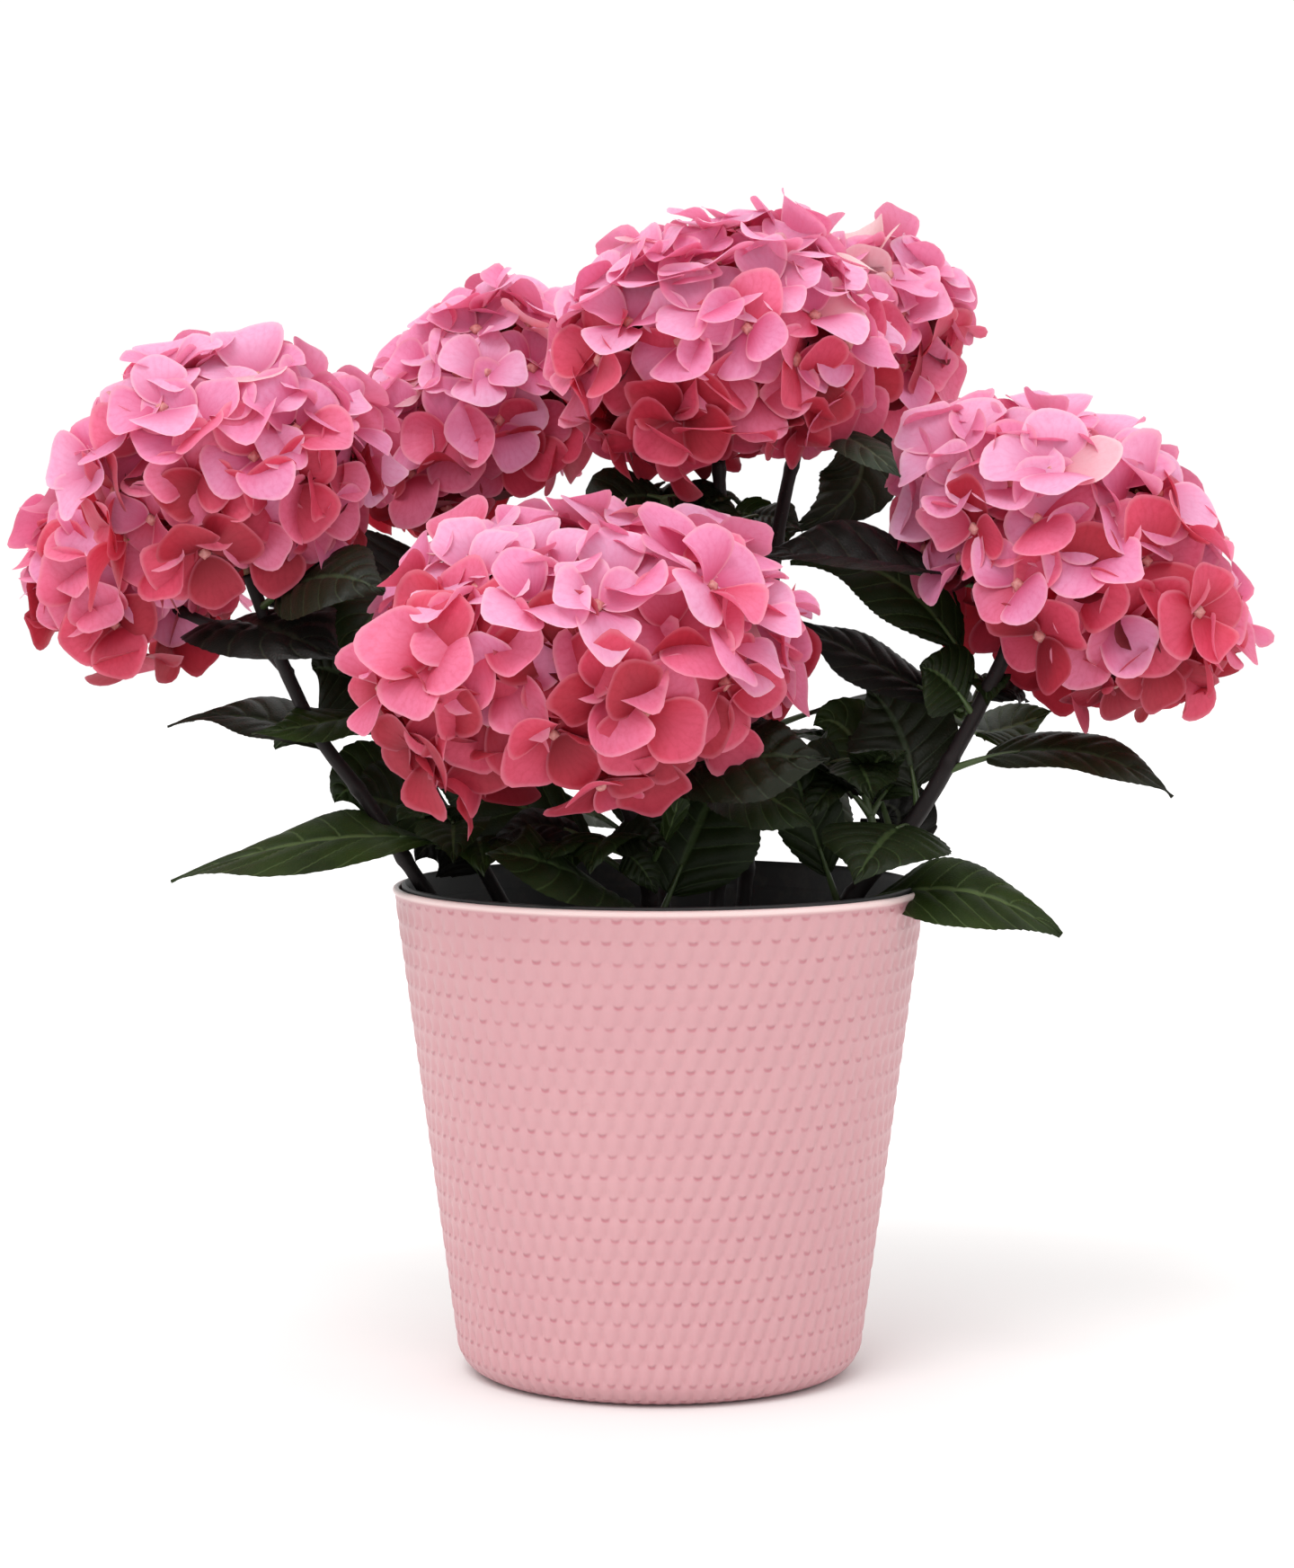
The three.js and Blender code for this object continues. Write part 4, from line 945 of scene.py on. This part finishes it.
def mass_leaves(at, half, limb, pairs, seed):
    """Opposite pairs of leaves in a mass, each pair turned a quarter from the last. The
    foot is on a shoot from the limb's nearest point to the mass's middle, the tip is near
    the mass's surface, and the midrib arches over between them."""
    dice = np.random.default_rng(seed)
    at, half = np.array(at, float), np.array(half, float)
    path = stem_paths[limb]
    start = path[np.argmin(np.linalg.norm(path - (at - [0, 0, 0.8 * half[2]]), axis=1))]
    end = at + np.array([0, 0, 0.3 * half[2]])
    t = np.linspace(0, 1, 14)[:, None]
    arch = np.array([0, 0, 0.12 * np.linalg.norm(end - start)]) * np.sin(np.pi * t)
    shoot = start + (end - start) * t + arch
    step = np.repeat(np.linspace(0.35, 1.0, pairs), 2)
    base = np.stack([np.interp(step, t[:, 0], shoot[:, axis]) for axis in range(3)], 1)
    turn = seed * 1.3 + np.pi / 2 * np.repeat(np.arange(pairs), 2) + np.pi * np.tile([0, 1], pairs)
    turn = turn + dice.normal(0, 0.3, 2 * pairs)
    high = dice.uniform(-0.5, 0.45, 2 * pairs)
    flat = np.sqrt(1 - high ** 2)
    way = np.stack([flat * np.cos(turn), flat * np.sin(turn), high], 1)
    tip = at + way * half * dice.uniform(1.0, 1.12, (2 * pairs, 1))
    length = np.linalg.norm(tip - base, axis=1)
    middle = (base + tip) / 2 + np.outer(dice.uniform(0.1, 0.22, 2 * pairs) * length, [0, 0, 1])
    width = np.clip(length * dice.uniform(0.6, 0.75, 2 * pairs), 22, 58)
    tilt = dice.normal(18, 22, 2 * pairs) * np.where(at[1] > 40, -1, 1)
    return base, middle, tip, width, tilt, shoot


*parts, shoots = zip(*(mass_leaves(*mass) for mass in MASSES.values()))
base, middle, tip, width, tilt = (np.concatenate(part) for part in parts)
dice = np.random.default_rng(77)
tone = dice.choice(4, len(base), p=[0.5, 0.25, 0.15, 0.10])
INNER_ROWS, INNER_COLUMNS = 40, 17
pucker, fold, skew = (dice.uniform(*span, len(base)) for span in ((0.2, 0.9), (0.1, 0.3), (-0.2, 0.2)))
points, uv = leaf_sheets(base, middle, tip, width, tilt, pucker, fold, skew, 4, INNER_ROWS, INNER_COLUMNS)
one = sheet_triangles(INNER_ROWS, INNER_COLUMNS)
make_piece("leaves_inner", points, repeated(one, INNER_ROWS * INNER_COLUMNS, len(base)), leaf_materials,
           [f"leaf_mass_{name}" for name in MASSES], tone=np.repeat(tone, len(one)), uv=uv)

# Leaf stalks and the side shoots in the masses: green, with brown patches.
stalk_green = mottled_material("leaf_stalk_green", 34.0, 2.0, "4F6A38", "2E2A1E", 0.48)

stalks = np.concatenate([outer_stalks, leaf_stalks(base, middle, tip, tilt)])
points, triangles = joined(tapered_tubes(stalks, 1.9, 0.7, 8), tapered_tubes(np.array(shoots), 2.2, 1.3, 8))
make_piece("leaf_stalks", points, triangles, [stalk_green])

# ---------------------------------------------------------------- studio
# A plain pale floor, a bright even surround and one large soft light from the upper left.

floor_mesh = bpy.data.meshes.new("studio_floor")
floor_mesh.from_pydata([(-6, -6, 0), (6, -6, 0), (6, 6, 0), (-6, 6, 0)], [], [(0, 1, 2, 3)])
floor = bpy.data.objects.new("studio_floor", floor_mesh)
bpy.context.scene.collection.objects.link(floor)
floor_paint, tree, _ = new_material("pale_studio_floor")
shader = add(tree, "BsdfPrincipled", {"Base Color": "E9E8E7", "Roughness": 1.0, "Specular IOR Level": 0.1})
add(tree, "OutputMaterial", {"Surface": shader})
floor_mesh.materials.append(floor_paint)

# The surround is white at eye level and brighter overhead, like a lit tent.
world = bpy.data.worlds.new("studio_surround")
bpy.context.scene.world = world
world.use_nodes = True
tree = world.node_tree
parts = add(tree, "SeparateXYZ", {0: add(tree, "TexCoord")})
overhead = add(tree, "MapRange", {"Value": parts.outputs[2], "From Min": 0.35, "From Max": 0.9,
                                  "To Min": 1.02, "To Max": 1.4})
background = tree.nodes["Background"]
background.inputs["Color"].default_value = (1.0, 1.0, 1.0, 1.0)
tree.links.new(overhead.outputs["Result"], background.inputs["Strength"])

sun = bpy.data.lights.new("soft_key", "SUN")
sun.energy, sun.angle = 1.3, math.radians(30)
lamp = bpy.data.objects.new("soft_key", sun)
bpy.context.scene.collection.objects.link(lamp)
lamp.rotation_euler = (math.radians(34), math.radians(-16), 0)

# A long lens at the height of the flower heads, 1.8 m in front, tipped down 4 degrees.
camera = bpy.data.objects.new("camera", bpy.data.cameras.new("camera"))
bpy.context.scene.collection.objects.link(camera)
camera.data.lens, camera.data.sensor_width = 94.0, 36.0
camera.location = (-0.0057, -1.834, 0.396)
camera.rotation_euler = (math.pi / 2 - 0.0712, 0, 0)
bpy.context.scene.camera = camera
bpy.context.scene.view_settings.view_transform = "Standard"
